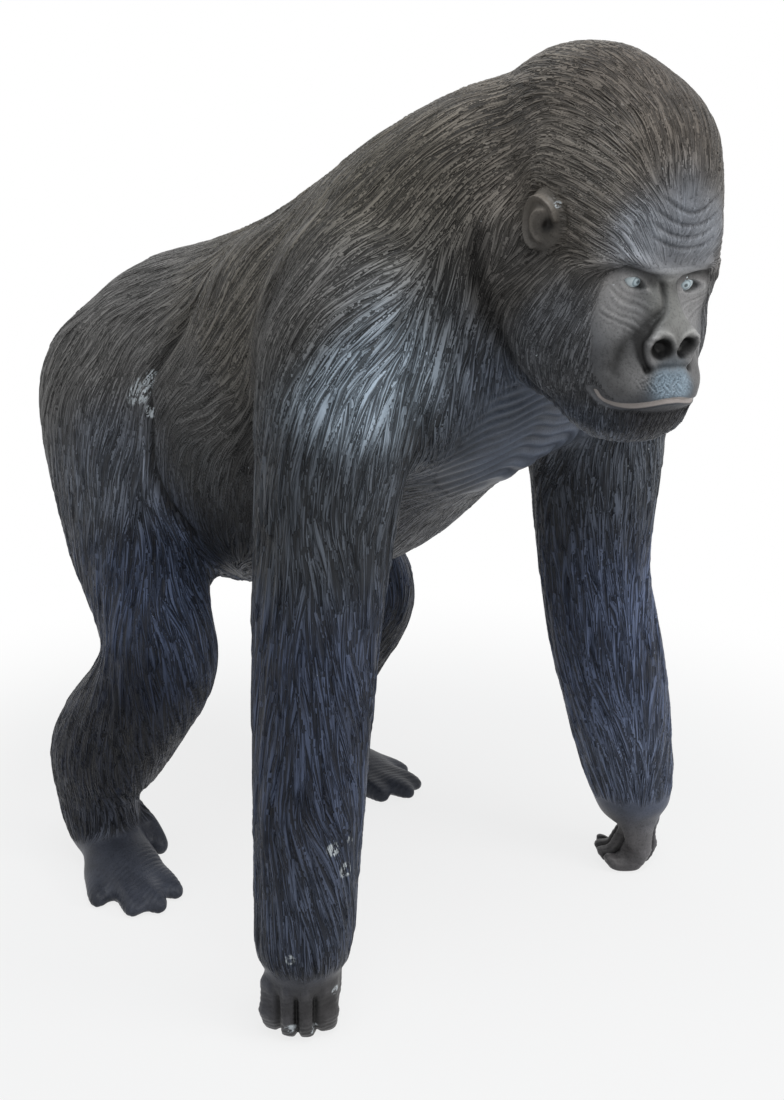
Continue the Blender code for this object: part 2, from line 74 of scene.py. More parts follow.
def mm(*places):
    """Places given in millimetres, in metres."""
    return np.array(places) / 1000


# Combing chart of the right side: where the hair lies (x, y, z) in centimetres, where it points (x, y, z) in
# hundredths, one lock's length in millimetres, and its half width and height in tenths of a millimetre.
BODY_COMB = [
    (-14, -33, 121, -65, 58, -50, 75, 50, 22), (-20, -25, 116, -51, 50, -69, 85, 55, 24),
    (-24, -19, 111, -63, 27, -72, 90, 60, 28), (-24, -11, 107, -31, 49, -81, 95, 65, 32),
    (-27, -27, 105, -71, 26, -66, 85, 60, 26), (-24, 0, 104, -60, 16, -78, 100, 65, 32),
    (-17, 23, 101, 0, 94, -33, 100, 65, 30), (-18, 36, 95, -5, 93, -37, 95, 65, 30),
    (-22, 38, 88, -50, 16, -85, 90, 70, 32), (-28, 38, 74, -17, -11, -98, 90, 75, 36),
    (-24, 15, 91, 4, 79, -61, 95, 65, 30), (-28, -6, 95, -10, 62, -78, 95, 65, 32),
    (-28, -1, 88, 13, 87, -47, 90, 60, 28), (-27, 4, 82, 15, 93, -33, 80, 55, 22),
    (-25, 3, 73, 22, 50, -84, 70, 50, 16), (-23, 15, 66, 32, 33, -89, 60, 50, 16),
    (-19, -32, 112, -46, 46, -76, 80, 50, 20), (-23, -30, 107, -72, 61, -34, 80, 55, 22),
    (-27, -28, 103, -80, 44, -41, 85, 60, 26), (-25, -31, 101, -83, 35, -43, 80, 60, 26),
    (-34, -23, 96, -33, 24, -92, 85, 70, 34), (-28, -31, 95, -79, 25, -56, 80, 70, 32),
    (-34, -27, 92, -33, 48, -81, 80, 75, 36), (-20, -34, 98, -21, 13, -97, 80, 65, 30),
    (-17, -37, 104, -3, 7, -100, 75, 55, 24), (-17, -37, 94, -13, 19, -97, 75, 65, 30),
    (-26, -33, 87, -23, 12, -97, 85, 75, 36), (-32, -30, 87, -22, 24, -95, 85, 80, 38),
    (-18, -33, 83, 19, 36, -91, 75, 65, 30), (-35, -23, 85, -1, 22, -98, 85, 80, 40),
    (-30, -31, 77, -13, 10, -99, 85, 80, 40), (-25, -32, 77, -35, 5, -93, 80, 75, 38),
    (-35, -25, 74, -3, -1, -100, 85, 85, 42), (-33, -29, 70, 14, -17, -98, 85, 85, 42),
    (-12, -25, 72, -60, 60, -30, 40, 35, 12), (0, -22, 69, 0, 95, -10, 40, 35, 12),
    (0, 5, 50, 0, 100, 5, 60, 50, 16), (-12, 5, 56, 10, 95, -20, 60, 50, 16), (0, -30, 124, 0, 98, -15, 75, 50, 22),
    (0, 0, 114, 0, 92, -40, 100, 60, 30), (0, 30, 104, 0, 92, -40, 100, 65, 30),
    (-10, 52, 90, -10, 50, -86, 90, 70, 34), (0, 58, 80, 0, 10, -100, 85, 70, 34),
    (-16, 57, 70, 0, -10, -100, 85, 75, 36),
    # the limbs
    (-37, -23, 59, -11, 5, -99, 85, 85, 42), (-34, -29, 59, 2, -11, -99, 85, 85, 42),
    (-31, -31, 50, 28, -11, -95, 90, 85, 42), (-36, -28, 51, -1, -23, -97, 90, 85, 42),
    (-38, -23, 49, -16, 7, -99, 90, 85, 42), (-34, -31, 40, 17, -13, -98, 90, 85, 42),
    (-39, -25, 40, -15, 9, -98, 90, 85, 42), (-37, -30, 32, 28, -30, -91, 85, 80, 38),
    (-41, -26, 26, -4, -26, -97, 80, 75, 34), (-37, -31, 22, 26, -19, -95, 70, 65, 28),
    (-41, -28, 18, -3, -16, -99, 50, 50, 20), (-18, -28, 66, -19, 1, -98, 85, 80, 38),
    (-22, -34, 66, -11, 13, -99, 85, 80, 38), (-22, -32, 53, -23, -6, -97, 85, 85, 40),
    (-22, -26, 38, -19, -18, -97, 85, 85, 40), (-29, -34, 42, -6, -5, -100, 85, 85, 40),
    (-25, -31, 32, -28, -19, -94, 80, 80, 36), (-26, -29, 22, -25, -16, -95, 70, 70, 30),
    (-34, -14, 60, -5, 5, -100, 85, 85, 42), (-34, -17, 35, -5, -10, -99, 85, 85, 42),
    (-26, 27, 74, -32, 24, -92, 85, 75, 34), (-28, 31, 69, -15, -31, -94, 85, 80, 38),
    (-28, 26, 64, -28, -4, -96, 85, 80, 38), (-23, 19, 64, 29, -41, -86, 70, 65, 26),
    (-21, 16, 55, 24, -20, -95, 75, 70, 30), (-27, 19, 56, -32, -23, -92, 85, 80, 38),
    (-30, 23, 52, -24, -13, -96, 85, 85, 40), (-25, 14, 48, 4, -52, -85, 75, 75, 34),
    (-31, 15, 41, 1, -19, -98, 80, 80, 38), (-26, 12, 36, 35, 25, -90, 70, 70, 30),
    (-33, 26, 29, 6, 29, -95, 75, 75, 32), (-31, 19, 30, 30, 30, -91, 70, 70, 30),
    (-33, 32, 16, 20, 22, -95, 60, 65, 28), (-28, 29, 13, 41, 25, -88, 55, 60, 24),
    (-31, 32, 9, -14, 1, -99, 45, 55, 20), (-14, 35, 60, -10, -20, -95, 80, 80, 36),
    (-22, 45, 55, -10, -35, -93, 85, 80, 38), (-20, 33, 30, -10, 20, -96, 70, 70, 30),
]
# The same chart for the head, with places and directions in the head's own frame, and places in millimetres.
HEAD_COMB = [
    (9, -99, 144, 0, 35, 94, 40, 26, 12), (-28, -87, 152, -15, 62, 77, 40, 26, 12),
    (-73, -76, 138, -25, 95, 10, 45, 28, 12), (-47, -31, 177, -10, 98, 10, 45, 28, 12),
    (-40, -130, 63, -55, 30, 78, 35, 24, 10), (-67, -115, 85, -60, 75, 28, 35, 24, 10),
    (-90, -99, 58, -30, 95, 2, 40, 24, 12), (-93, -68, 115, -25, 97, -5, 45, 26, 12),
    (-100, -21, 136, -10, 97, -20, 50, 28, 14), (-121, 53, 93, 0, 60, -80, 55, 32, 14),
    (-134, 40, 41, -5, 35, -94, 50, 32, 14), (-146, 19, -32, 0, -5, -100, 45, 32, 14),
    (-116, -30, 70, 0, 98, -20, 35, 26, 10), (-129, -8, -52, -5, 40, -91, 30, 30, 14),
    (-83, -134, -39, -10, 15, -98, 18, 26, 14), (-105, -116, -63, -10, 10, -99, 20, 26, 14),
    (-123, -79, -70, -5, 15, -98, 22, 28, 16), (-89, -150, -99, 0, -10, -99, 20, 26, 16),
    (-78, -177, -109, 5, -20, -98, 18, 26, 16), (-105, -90, -150, 20, -20, -95, 22, 30, 18),
    (-60, -200, -150, 15, -10, -98, 16, 26, 14), (0, -226, -160, 0, 10, -99, 14, 24, 12),
    (-69, 64, 175, -20, 95, -25, 55, 32, 14), (0, -12, 190, 0, 97, 20, 45, 28, 12),
    (0, 90, 180, 0, 95, -30, 60, 34, 16),
]
# Length, half width and height of the carved locks, as shares of the chart's.
BODY_LOCK = (1.45, 0.92, 0.85)
HEAD_LOCK = (1.7, 0.80, 0.85)

# The face's carved lines, right half, in the head's frame: each is a smooth line through its points.
BROW_EDGE = mm((-102, -113, -6), (-92, -123, 9), (-72, -131, 19), (-48, -136, 20), (-26, -138, 13), (0, -140, 9))
LID = mm((-29, -135, -14), (-38, -130, -5.5), (-50, -127, -2.5), (-63, -127, -6))
UNDER_LID = mm((-29, -135, -16), (-40, -130, -21.5), (-53, -127, -20), (-65, -127, -11))
NOSE_SIDE = mm(
    (-14, -141, -4), (-14, -150, -14), (-18, -160, -24), (-29, -172, -34), (-40, -180, -46), (-44, -181, -58),
    (-40, -186, -73), (-33, -196, -86),
)
NOSTRIL_RIM = mm(
    (-25, -201, -82), (-33, -193, -72), (-36, -192, -56), (-31, -192, -45), (-19, -192, -41), (-8, -195, -46),
    (-3, -200, -56),
)
NOSE_FOOT = mm((-33, -197, -87), (-23, -201, -83), (-13, -205, -80), (0, -207, -79))
MOUTH = mm(
    (-75, -172, -131), (-71, -180, -136), (-63, -191, -136), (-45, -208, -129), (-28, -217, -122),
    (-12, -223, -117), (0, -224, -116),
)
HELIX = mm(
    (-117, -50, 36), (-121, -42, 47), (-125, -26, 50), (-124, -10, 42), (-120, -1, 24), (-118, -2, 4),
    (-117, -14, -9), (-119, -30, -9),
)
ANTIHELIX = mm((-124, -36, 40), (-128, -28, 34), (-127, -24, 22), (-123, -28, 10), (-120, -38, 4))
TRAGUS = mm((-118, -49, 28), (-118, -50, 18))
CHEEK_FOLD = mm((-37, -176, -42), (-47, -172, -58), (-58, -170, -77), (-66, -172, -100))
# The crease between the jowl and the neck.
JAW_CREASE = mm(
    (-160, 30, -30), (-164, 19, -58), (-158, 3, -89), (-141, -20, -127), (-124, -47, -156), (-103, -81, -180),
    (-78, -118, -193),
)
# The forehead's creases, seen across the whole width, from the highest down.
CREASES = [
    mm((-30, -128, 101), (-8, -132, 90), (10, -133, 85), (29, -130, 88), (55, -120, 100)),
    mm((-40, -129, 88), (-12, -134, 75), (15, -135, 70), (41, -130, 74), (66, -116, 84)),
    mm((-40, -131, 72), (-12, -135, 60), (15, -135, 55), (43, -130, 59), (68, -118, 68)),
    mm((-34, -134, 55), (-8, -136, 45), (15, -136, 41), (40, -134, 43), (58, -130, 50)),
]
EYE = mm(-43, -128, -10.5)
NOSTRIL = mm(-18.5, -196, -60)
NOSTRIL_RADII = mm(13.8, 30, 11.5)
CONCHA = mm(-121, -47, 24)
EAR = mm(-122, -26, 22)
EAR_RADII = mm(40, 32, 38)
# Wrinkles under an eye: rings about this place.
RING = mm(-40, -128, 16)
# In the photo, eyes and brow are set to the animal's left by this much, and tilted by this slope.
FACE_SHIFT = 0.006
FACE_TILT = 0.105
# The crease from the back over the hip to the front of the thigh, right side of the statue.
HIP_CREASE = mm(
    (-225, 40, 1045), (-240, 90, 975), (-248, 150, 905), (-250, 205, 848), (-254, 200, 790), (-250, 205, 723),
    (-242, 182, 663), (-222, 150, 615),
)
# The crease between the upper arm and the flank.
ARM_CREASE = mm(
    (-325, -165, 1030), (-335, -160, 950), (-325, -130, 870), (-280, -70, 800), (-262, -33, 732), (-240, 0, 662),
)
# How much each axis counts in the distance from a line on the face's front, the ear, the body's side, or any.
ACROSS_FACE = (1, 0.3, 1)
ACROSS_EAR = (0.35, 1, 1)
ACROSS_SIDE = (0.5, 1, 1)
ALL_ROUND = (1, 1, 1)
# Each hand's side, the middle of its wrist, and how far the hands are turned inwards.
WRISTS = [(-1, mm(-363.3, -258.4)), (1, mm(363.7, -280.4))]
HAND_TURN = math.radians(48)
FINGER_PITCH = 0.027
# Where the paint is chipped: a place and the size of the chipped patch, in millimetres.
CHIPS = [
    (-248, 231, 829, 20), (-247, 255, 818, 14), (-250, 205, 850, 14), (-252, 206, 800, 10), (-359, -316, 292, 9),
    (-330, -317, 296, 6), (-341, -319, 257, 10), (-406, -275, 24, 8), (-378, -295, 20, 7), (-347, -304, 72, 7),
    (-419, -294, 144, 7), (-159, -500, 1122, 5),
]
# Where each paint lies: place and reach in millimetres, and its colour (0 to 255), mostly as it looks in even light.
# Some tones also hold painted light: partly painted warm light on the top of the back, partly painted blue sheen on
# the limbs, a partly painted highlight on the shoulder, and painted shade low on the flank and belly.
PAINT = [
    # partly painted warm light: the brown tones on the top of the back and shoulders in this row
    (0, -350, 1240, 100, 90, 84, 77), (0, 0, 1120, 200, 88, 83, 74), (-250, 0, 1000, 120, 84, 80, 74),
    # painted shade: the dark tone at (-260, 80, 740) and the next one at (-200, 50, 600), low on the flank and belly
    (-200, 400, 900, 150, 90, 88, 86), (-270, 50, 840, 70, 68, 67, 66), (-260, 80, 740, 60, 42, 44, 46),
    # partly painted highlight: the pale blue tone at (-300, -310, 900) on the shoulder, over pale dry-brush paint
    (-200, 50, 600, 120, 37, 39, 43), (-300, -310, 900, 58, 132, 143, 154), (-340, -240, 980, 60, 84, 82, 80),
    # partly painted blue sheen: the blue tones on the forearms, the lower thighs and the lower hind legs, in this
    # row and the next two
    (-330, -250, 720, 100, 62, 66, 72), (-340, -250, 450, 150, 54, 61, 78), (-340, -270, 220, 80, 60, 66, 80),
    (-340, -270, 60, 50, 62, 60, 60), (-280, 300, 700, 100, 80, 84, 92), (-250, 180, 500, 120, 62, 71, 92),
    (-280, 250, 320, 110, 20, 24, 35), (-300, 180, 400, 70, 20, 25, 38), (-280, 250, 50, 60, 63, 66, 75),
    (0, -380, 850, 100, 76, 83, 96),
]
# The same in the head's own frame.
HEAD_PAINT = [
    # partly painted highlight: the pale blue tones on the forehead at (-50, -130, 60) and (12, -130, 75), and on the
    # upper lip at (-10, -214, -101)
    (0, 50, 200, 100, 73, 67, 61), (-100, -20, 80, 60, 106, 100, 93), (-50, -130, 60, 24, 122, 125, 131),
    (12, -130, 75, 32, 108, 111, 117), (-50, -140, -35, 20, 133, 132, 132), (0, -160, -20, 18, 115, 115, 112),
    (-55, -190, -85, 18, 99, 98, 98), (-10, -214, -101, 11, 116, 130, 141), (0, -225, -155, 30, 34, 34, 38),
    (-110, -100, -90, 40, 82, 83, 86), (-130, -20, -50, 40, 82, 79, 76),
]

# Locks of hair: pieces of a centre line, the spacing of roots as a share of a lock's mean size, the cubes that
# one root each is picked from, the seed of the picks, and the share of a lock's height that lies under the skin.
LOCK_STEPS = 5
LOCK_SPACING = 0.62
ROOT_CUBES = 0.004 * 1.35 ** np.arange(8)
LOCK_SEED = 7
SUNK = 0.85

# The camera, solved from the photo: its place, and its focal length and its aim below the horizon in pixels.
CAMERA = (-1.5558, -1.6228, 1.184)
FOCAL = 1470.0
AIM_BELOW = 400
PHOTO_HEIGHT = 1100
SENSOR = 24


def head_axes():
    """Rows of the head's own axes: a turn about z of a tip about x."""
    cz, sz, cx, sx = math.cos(HEAD_TURN), math.sin(HEAD_TURN), math.cos(HEAD_TIP), math.sin(HEAD_TIP)
    turn = np.array([[cz, -sz, 0], [sz, cz, 0], [0, 0, 1]])
    tip = np.array([[1, 0, 0], [0, cx, -sx], [0, sx, cx]])
    return (turn @ tip).T


HEAD_AXES = head_axes()


def in_head(points):
    """Places in the head's own frame: the offset from its origin, measured along its axes."""
    return (points - HEAD_ORIGIN) @ HEAD_AXES.T


def from_head(points):
    """Places in the statue's frame of points given in the head's."""
    return points @ HEAD_AXES + HEAD_ORIGIN


def unit(vectors):
    """Each vector divided by its length."""
    return vectors / np.maximum(np.linalg.norm(vectors, axis=-1, keepdims=True), 1e-12)


def step(low, high, value):
    """Smooth step: 0 below low, 1 above high, and 3t squared less 2t cubed between them."""
    t = np.clip((value - low) / (high - low), 0, 1)
    return t * t * (3 - 2 * t)


def chart():
    """The combing chart of both sides, in the statue's frame: places, directions, lock sizes, and how far each
    row reaches.

    Each row is repeated with x turned over, and the head's rows are moved out of the head's frame."""

    def both(rows, place_unit, lock):
        units = (place_unit, place_unit, place_unit, 100, 100, 100, 1000, 10000, 10000)
        rows = np.array(rows) / units * (1, 1, 1, 1, 1, 1, *lock)
        return np.concatenate([rows, rows[rows[:, 0] != 0] * (-1, 1, 1, -1, 1, 1, 1, 1, 1)])

    body, head = both(BODY_COMB, 100, BODY_LOCK), both(HEAD_COMB, 1000, HEAD_LOCK)
    place = np.concatenate([body[:, :3], from_head(head[:, :3])])
    lie = np.concatenate([body[:, 3:6], head[:, 3:6] @ HEAD_AXES])
    reach = np.concatenate([np.full(len(body), 0.030), np.full(len(head), 0.012)])
    return place, unit(lie), np.concatenate([body[:, 6:], head[:, 6:]]), reach


CHART = chart()


def comb(points, normals):
    """How hair lies at each point: a direction along the surface, and a lock's length, half width and height.

    Each row of the chart counts with 1 over (distance squared plus reach squared) squared. The mean direction
    loses its part along the normal."""
    place, lie, size, reach = CHART
    lies, sizes = [], []
    square = (place**2).sum(1) + reach**2
    for part in np.array_split(points, max(1, len(points) // 20000)):
        away = square + (part**2).sum(1, keepdims=True) - 2 * (part @ place.T)
        weight = 1 / away**2
        weight /= weight.sum(1, keepdims=True)
        lies.append(weight @ lie)
        sizes.append(weight @ size)
    lies, sizes = np.concatenate(lies), np.concatenate(sizes)
    lies -= (lies * normals).sum(1, keepdims=True) * normals
    return unit(lies), sizes


def smooth_line(points, spans=6):
    """A smooth line through the points: Catmull-Rom pieces, each read at that many places."""
    p = np.asarray(points, float)
    p = np.concatenate([2 * p[:1] - p[1:2], p, 2 * p[-1:] - p[-2:-1]])
    t = np.linspace(0, 1, spans, endpoint=False)[None, :, None]
    a, b, c, d = (p[i : len(p) - 3 + i, None] for i in range(4))
    line = 0.5 * (2 * b + (c - a) * t + (2 * a - 5 * b + 4 * c - d) * t**2 + (3 * b - a - 3 * c + d) * t**3)
    return np.concatenate([line.reshape(-1, 3), p[-2:-1]])


def line_distance(points, through, squash=ACROSS_FACE):
    """Distance of each point near it from the smooth line through some places: the least over its straight
    pieces. The face's lines lie across the front, so depth counts less there than width and height."""
    line, squash = smooth_line(through), np.array(squash)
    out = np.full(len(points), 0.1)
    near = np.flatnonzero(((points > line.min(0) - 0.03) & (points < line.max(0) + 0.03)).all(1))
    if len(near):
        a, d = line[:-1] * squash, np.diff(line, axis=0) * squash
        rel = points[near, None] * squash - a
        u = np.clip((rel * d).sum(2) / (d * d).sum(1), 0, 1)
        out[near] = np.sqrt(((rel - u[..., None] * d) ** 2).sum(2).min(1))
    return out


def bell(distance, width):
    """A ridge's profile: e to the minus (distance over width) squared."""
    return np.exp(-((distance / width) ** 2))


def both_sides(points):
    """Points with x folded to the right side, so that one side's tables serve both."""
    folded = points.copy()
    folded[:, 0] = -np.abs(folded[:, 0])
    return folded


def on_face(h):
    """Head points as the face's tables give them: x folded to the right side, and eyes and brow set a little to
    the animal's left and tilted, as in the photo."""
    share = step(-0.045, -0.015, h[:, 2]) * step(0.108, 0.088, np.abs(h[:, 0]))
    f = h.copy()
    f[:, 0] -= FACE_SHIFT * share
    f[:, 2] += FACE_TILT * f[:, 0] * share
    return both_sides(f)


def blob(points, centre, radii):
    """How far out each point lies in an ellipsoid: 0 at its centre, 1 on its surface."""
    return np.linalg.norm((points - centre) / radii, axis=1)


def chest_mask(points):
    """1 on the bare chest between the arms, 0 elsewhere."""
    return step(1.15, 0.75, blob(points, [0.0, -0.34, 0.80], [0.17, 0.18, 0.14])) * step(-0.18, -0.24, points[:, 1])


def skin_masks(points):
    """What covers each point: (hair, lip paint), each from 0 to 1.

    The face's front is bare inside a rounded square that runs from brow to lip, and half bare on the forehead
    and the chin; each hand and foot is bare below a slanting cuff at its wrist or ankle."""
    h = in_head(points)
    f = both_sides(h)
    front = step(-0.070, -0.100, h[:, 1])
    around = (np.abs(h[:, 0]) / 0.083) ** 4 + (np.abs(h[:, 2] + 0.058) / 0.078) ** 4
    face = step(1.18, 0.86, around) * front
    brow = (np.abs(h[:, 0] - 0.012) / 0.062) ** 2.5 + (np.abs(h[:, 2] - 0.056) / 0.062) ** 2.5
    face = np.maximum(face, 0.66 * step(1.5, 0.55, brow) * front)
    mouth = line_distance(f, MOUTH)
    lip = bell(mouth, 0.0019 + 0.0022 * step(-0.075, -0.040, f[:, 0])) * step(-0.12, -0.14, h[:, 1])
    ear = step(1.15, 0.95, blob(f, EAR, EAR_RADII))
    bare = np.maximum.reduce([face, step(0.009, 0.005, mouth) * front, ear])
    x, y, z = points.T
    cuff = np.where(x < 0, 0.112, 0.140) + 0.007 * np.sin(x * 160) * np.sin(y * 120)
    hand = step(0.010, -0.010, z - cuff) * (y < 0.0)
    foot = step(0.012, -0.006, z - 0.088 + (y - 0.25) * 0.35) * (y > 0.0)
    return 1 - np.maximum.reduce([bare, hand, foot, chest_mask(points)]), lip


def face_relief(points):
    """How far the face's carving moves each point along its normal, in metres.

    Every ridge and groove is a bell profile across its line, and the eye's, the ear's and the nostril's hollows
    fall off smoothly from a middle. Wrinkles under the eye are cosines of the distance from a place over it, and
    the upper lip's pits are cosines across and up, multiplied, all inside smooth windows."""
    h = in_head(points)
    f = on_face(h)
    front = step(-0.08, -0.10, h[:, 1])

    def off(line, squash=ACROSS_FACE):
        return line_distance(f, line, squash)

    out = 0.0050 * bell(off(BROW_EDGE), 0.009)
    out -= 0.0052 * bell(off(NOSE_SIDE), 0.0042)
    out += 0.0024 * bell(off(NOSTRIL_RIM), 0.0038)
    out -= 0.0030 * bell(off(NOSE_FOOT), 0.0035)
    out -= 0.0140 * np.exp(-(blob(f, NOSTRIL, NOSTRIL_RADII) ** 4))
    mouth = off(MOUTH)
    out += 0.0026 * bell(mouth, 0.010) - 0.0050 * bell(mouth, 0.0030)
    out -= 0.0026 * bell(off(CHEEK_FOLD), 0.0045)
    # the ear: its rim, the fold inside it, the knob in front and the hollow between
    out += 0.0075 * bell(off(HELIX, ACROSS_EAR), 0.0034)
    out -= 0.0040 * bell(blob(f, [-0.122, -0.027, 0.022], [0.06, 0.0285, 0.0345]) * 0.03 - 0.0375, 0.004)
    out += 0.0045 * bell(off(ANTIHELIX, ACROSS_EAR), 0.0036)
    out += 0.0050 * bell(off(TRAGUS, ACROSS_EAR), 0.0045)
    out -= 0.0120 * bell(blob(f, CONCHA, [1, 0.7, 1]), 0.0105)
    # the eye: a slanting almond-shaped hollow with heavy lids
    ex = f[:, 0] - EYE[0]
    ez = f[:, 2] - EYE[2] + 0.12 * ex
    near = step(0.05, 0.035, np.linalg.norm(f - EYE, axis=1))
    almond = np.sqrt((ex / 0.0136) ** 2 + (ez / (0.0074 * np.clip(1 - (ex / 0.026) ** 2, 0.2, 1))) ** 2)
    out -= 0.0046 * step(1.12, 0.80, almond) * near
    out += 0.0030 * bell(off(LID), 0.0034) + 0.0022 * bell(off(UNDER_LID), 0.0034)
    out -= 0.0030 * bell(ez - 0.016, 0.0045) * step(0.030, 0.020, np.abs(ex)) * near
    # wrinkles under the eye
    ring = np.sqrt(((f[:, 0] - RING[0]) / 1.15) ** 2 + (f[:, 2] - RING[2]) ** 2)
    window = step(0.038, 0.044, ring) * step(0.082, 0.070, ring) * step(0.010, -0.012, f[:, 2] - RING[2])
    window *= step(-0.084, -0.070, f[:, 0]) * step(0.002, 0.008, off(NOSE_SIDE))
    window *= step(0.0, -0.014, f[:, 0] + 0.012) * front
    out += (0.00055 * np.cos(ring * 2 * math.pi / 0.0064) + 0.00040 * np.cos(ring * 2 * math.pi / 0.0105)) * window
    # the forehead: creases with rolls between them
    reach = step(0.068, 0.028, np.abs(h[:, 0] - 0.012)) * front
    for crease in CREASES:
        away = line_distance(h, crease)
        out += (0.0014 * bell(away, 0.0085) - 0.0036 * bell(away, 0.0024)) * reach
    # the pitted upper lip
    lip = step(1.2, 0.7, blob(h, [-0.008, -0.212, -0.100], [0.038, 0.06, 0.013]))
    pit = np.cos(h[:, 0] * 1250 + 2 * np.sin(h[:, 2] * 400)) * np.cos(h[:, 2] * 1350 + 2 * np.sin(h[:, 0] * 330))
    out += 0.0022 * pit * lip
    out -= 0.0060 * bell(line_distance(both_sides(h), JAW_CREASE, ALL_ROUND), 0.010)
    # folds over the nose's root, and the dent along the upper lip
    out -= 0.0022 * bell(h[:, 2] - 0.006 - 2.0 * h[:, 0] ** 2, 0.003) * step(0.030, 0.012, np.abs(h[:, 0])) * front
    return out


def limb_relief(points):
    """How far the body's and limbs' carving moves each point along its normal, in metres.

    Folds of the chest and creases of hands and feet are cosines along them, inside smooth windows. The creases
    of hip and arm are bell grooves along their lines. Bell gaps at an even pitch part the fingers, and each has
    a bump at its knuckles."""
    x, y, z = points.T
    fold = z + 1.2 * x**2 + 0.35 * y + 0.003 * np.sin(x * 60)
    out = 0.0016 * chest_mask(points) * np.cos(fold * 2 * math.pi / 0.012)
    hand = (y < 0.0) & (z < 0.13)
    crease = np.cos((z + 0.15 * np.abs(x) + 0.1 * y) * 2 * math.pi / 0.0085)
    out += 0.0003 * crease * hand * step(0.085, 0.060, z)
    foot = (y > 0.0) & (z < 0.11)
    crease = np.cos((y + 0.2 * np.abs(x)) * 2 * math.pi / 0.009)
    out += 0.0003 * crease * foot * step(0.30, 0.22, y)
    fold = both_sides(points)
    out -= 0.0080 * bell(line_distance(fold, HIP_CREASE, ACROSS_SIDE), 0.011)
    out -= 0.0070 * bell(line_distance(fold, ARM_CREASE, ACROSS_SIDE), 0.022)
    # fingers: gaps between them and a bump on each knuckle
    for side, (wx, wy) in WRISTS:
        turn = side * HAND_TURN
        across = side * ((x - wx) * math.cos(turn) + (y - wy) * math.sin(turn)) - 0.007
        ahead = (y - wy) * math.cos(turn) - (x - wx) * math.sin(turn)
        here = (side * x > 0.2) * (y < 0.0) * step(0.110, 0.085, z)
        gap = np.abs(across - FINGER_PITCH * np.clip(np.round(across / FINGER_PITCH), -1, 1))
        out -= 0.0062 * bell(gap, 0.0034) * here * step(0.085, 0.060, z)
        knuckle = bell(z - 0.080, 0.010) + bell(z - 0.036, 0.009)
        out += 0.0028 * knuckle * step(0.006, 0.012, gap) * step(0.0, -0.015, ahead) * here
    return out


def quad_normals(points, quads):
    """Vertex normals: the sum of the crossed diagonals of the faces round each vertex."""
    across = np.cross(points[quads[:, 2]] - points[quads[:, 0]], points[quads[:, 3]] - points[quads[:, 1]])
    total = np.stack(
        [np.bincount(quads.ravel(), np.repeat(across[:, k], 4), len(points)) for k in range(3)], 1
    )
    return unit(total)


def edge_ends(quads):
    """Both ends of every edge of every face, in the face's own order."""
    return np.stack([quads, np.roll(quads, -1, 1)], 2).reshape(-1, 2)


def open_edges(quads, count):
    """Ends of the edges that one face alone has: no other has them the other way round."""
    ends = edge_ends(quads)
    return ends[~np.isin(ends[:, 0] * count + ends[:, 1], ends[:, 1] * count + ends[:, 0])]


def relax(points, quads, passes, still=None):
    """Laplacian smoothing: each pass moves every vertex halfway to the mean of its neighbours, and leaves those
    that are still where they are."""
    ends = edge_ends(quads)
    count = np.bincount(ends.ravel(), minlength=len(points))[:, None]
    for _ in range(passes):
        total = np.stack(
            [
                np.bincount(ends[:, 0], points[ends[:, 1], k], len(points))
                + np.bincount(ends[:, 1], points[ends[:, 0], k], len(points))
                for k in range(3)
            ],
            1,
        )
        moved = points + 0.5 * (total / count - points)
        points = moved if still is None else np.where(still[:, None], points, moved)
    return points


def fine_skin(voxel):
    """The CAD node's form as a fine even net: (points, quads).

    A copy of its mesh is merged, rounded by one subdivision and remeshed in voxels, and relaxed."""
    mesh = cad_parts[NODE].data.copy()
    work = bmesh.new()
    work.from_mesh(mesh)
    bmesh.ops.remove_doubles(work, verts=work.verts, dist=1e-5)
    work.to_mesh(mesh)
    work.free()
    shape = bpy.data.objects.new("shape", mesh)
    bpy.context.scene.collection.objects.link(shape)
    rounding = shape.modifiers.new("rounding", "SUBSURF")
    rounding.levels = rounding.render_levels = 1
    net = shape.modifiers.new("net", "REMESH")
    net.mode = "VOXEL"
    net.voxel_size = voxel
    depsgraph = bpy.context.evaluated_depsgraph_get()
    made = shape.evaluated_get(depsgraph).to_mesh()
    points = np.zeros(len(made.vertices) * 3, np.float32)
    made.vertices.foreach_get("co", points)
    corners = np.zeros(len(made.loops), np.int32)
    made.loops.foreach_get("vertex_index", corners)
    totals = np.zeros(len(made.polygons), np.int32)
    made.polygons.foreach_get("loop_total", totals)
    if not (totals == 4).all():
        raise RuntimeError("the voxel net isn't all quads")
    shape.evaluated_get(depsgraph).to_mesh_clear()
    bpy.data.objects.remove(shape)
    bpy.data.meshes.remove(mesh)
    points, quads = points.reshape(-1, 3).astype(float), corners.reshape(-1, 4).astype(np.int64)
    return relax(points, quads, 8), quads


def refine(points, quads, normals):
    """Cuts every quad into four. New values are the means of their edge's or face's.

    Returns points, quads and unit normals, and how many points there were, with the ends of each cut edge."""
    pairs = np.sort(edge_ends(quads), 1)
    edges, where = np.unique(pairs, axis=0, return_inverse=True)
    n, e = len(points), len(edges)
    mid = n + where.reshape(-1, 4)
    centre = n + e + np.arange(len(quads))
    grown = [np.concatenate([v, v[edges].mean(1), v[quads].mean(1)]) for v in (points, normals)]
    cut = np.stack([quads, mid, np.repeat(centre[:, None], 4, 1), np.roll(mid, 1, 1)], 2)
    return grown[0], cut.reshape(-1, 4), unit(grown[1]), (n, edges)


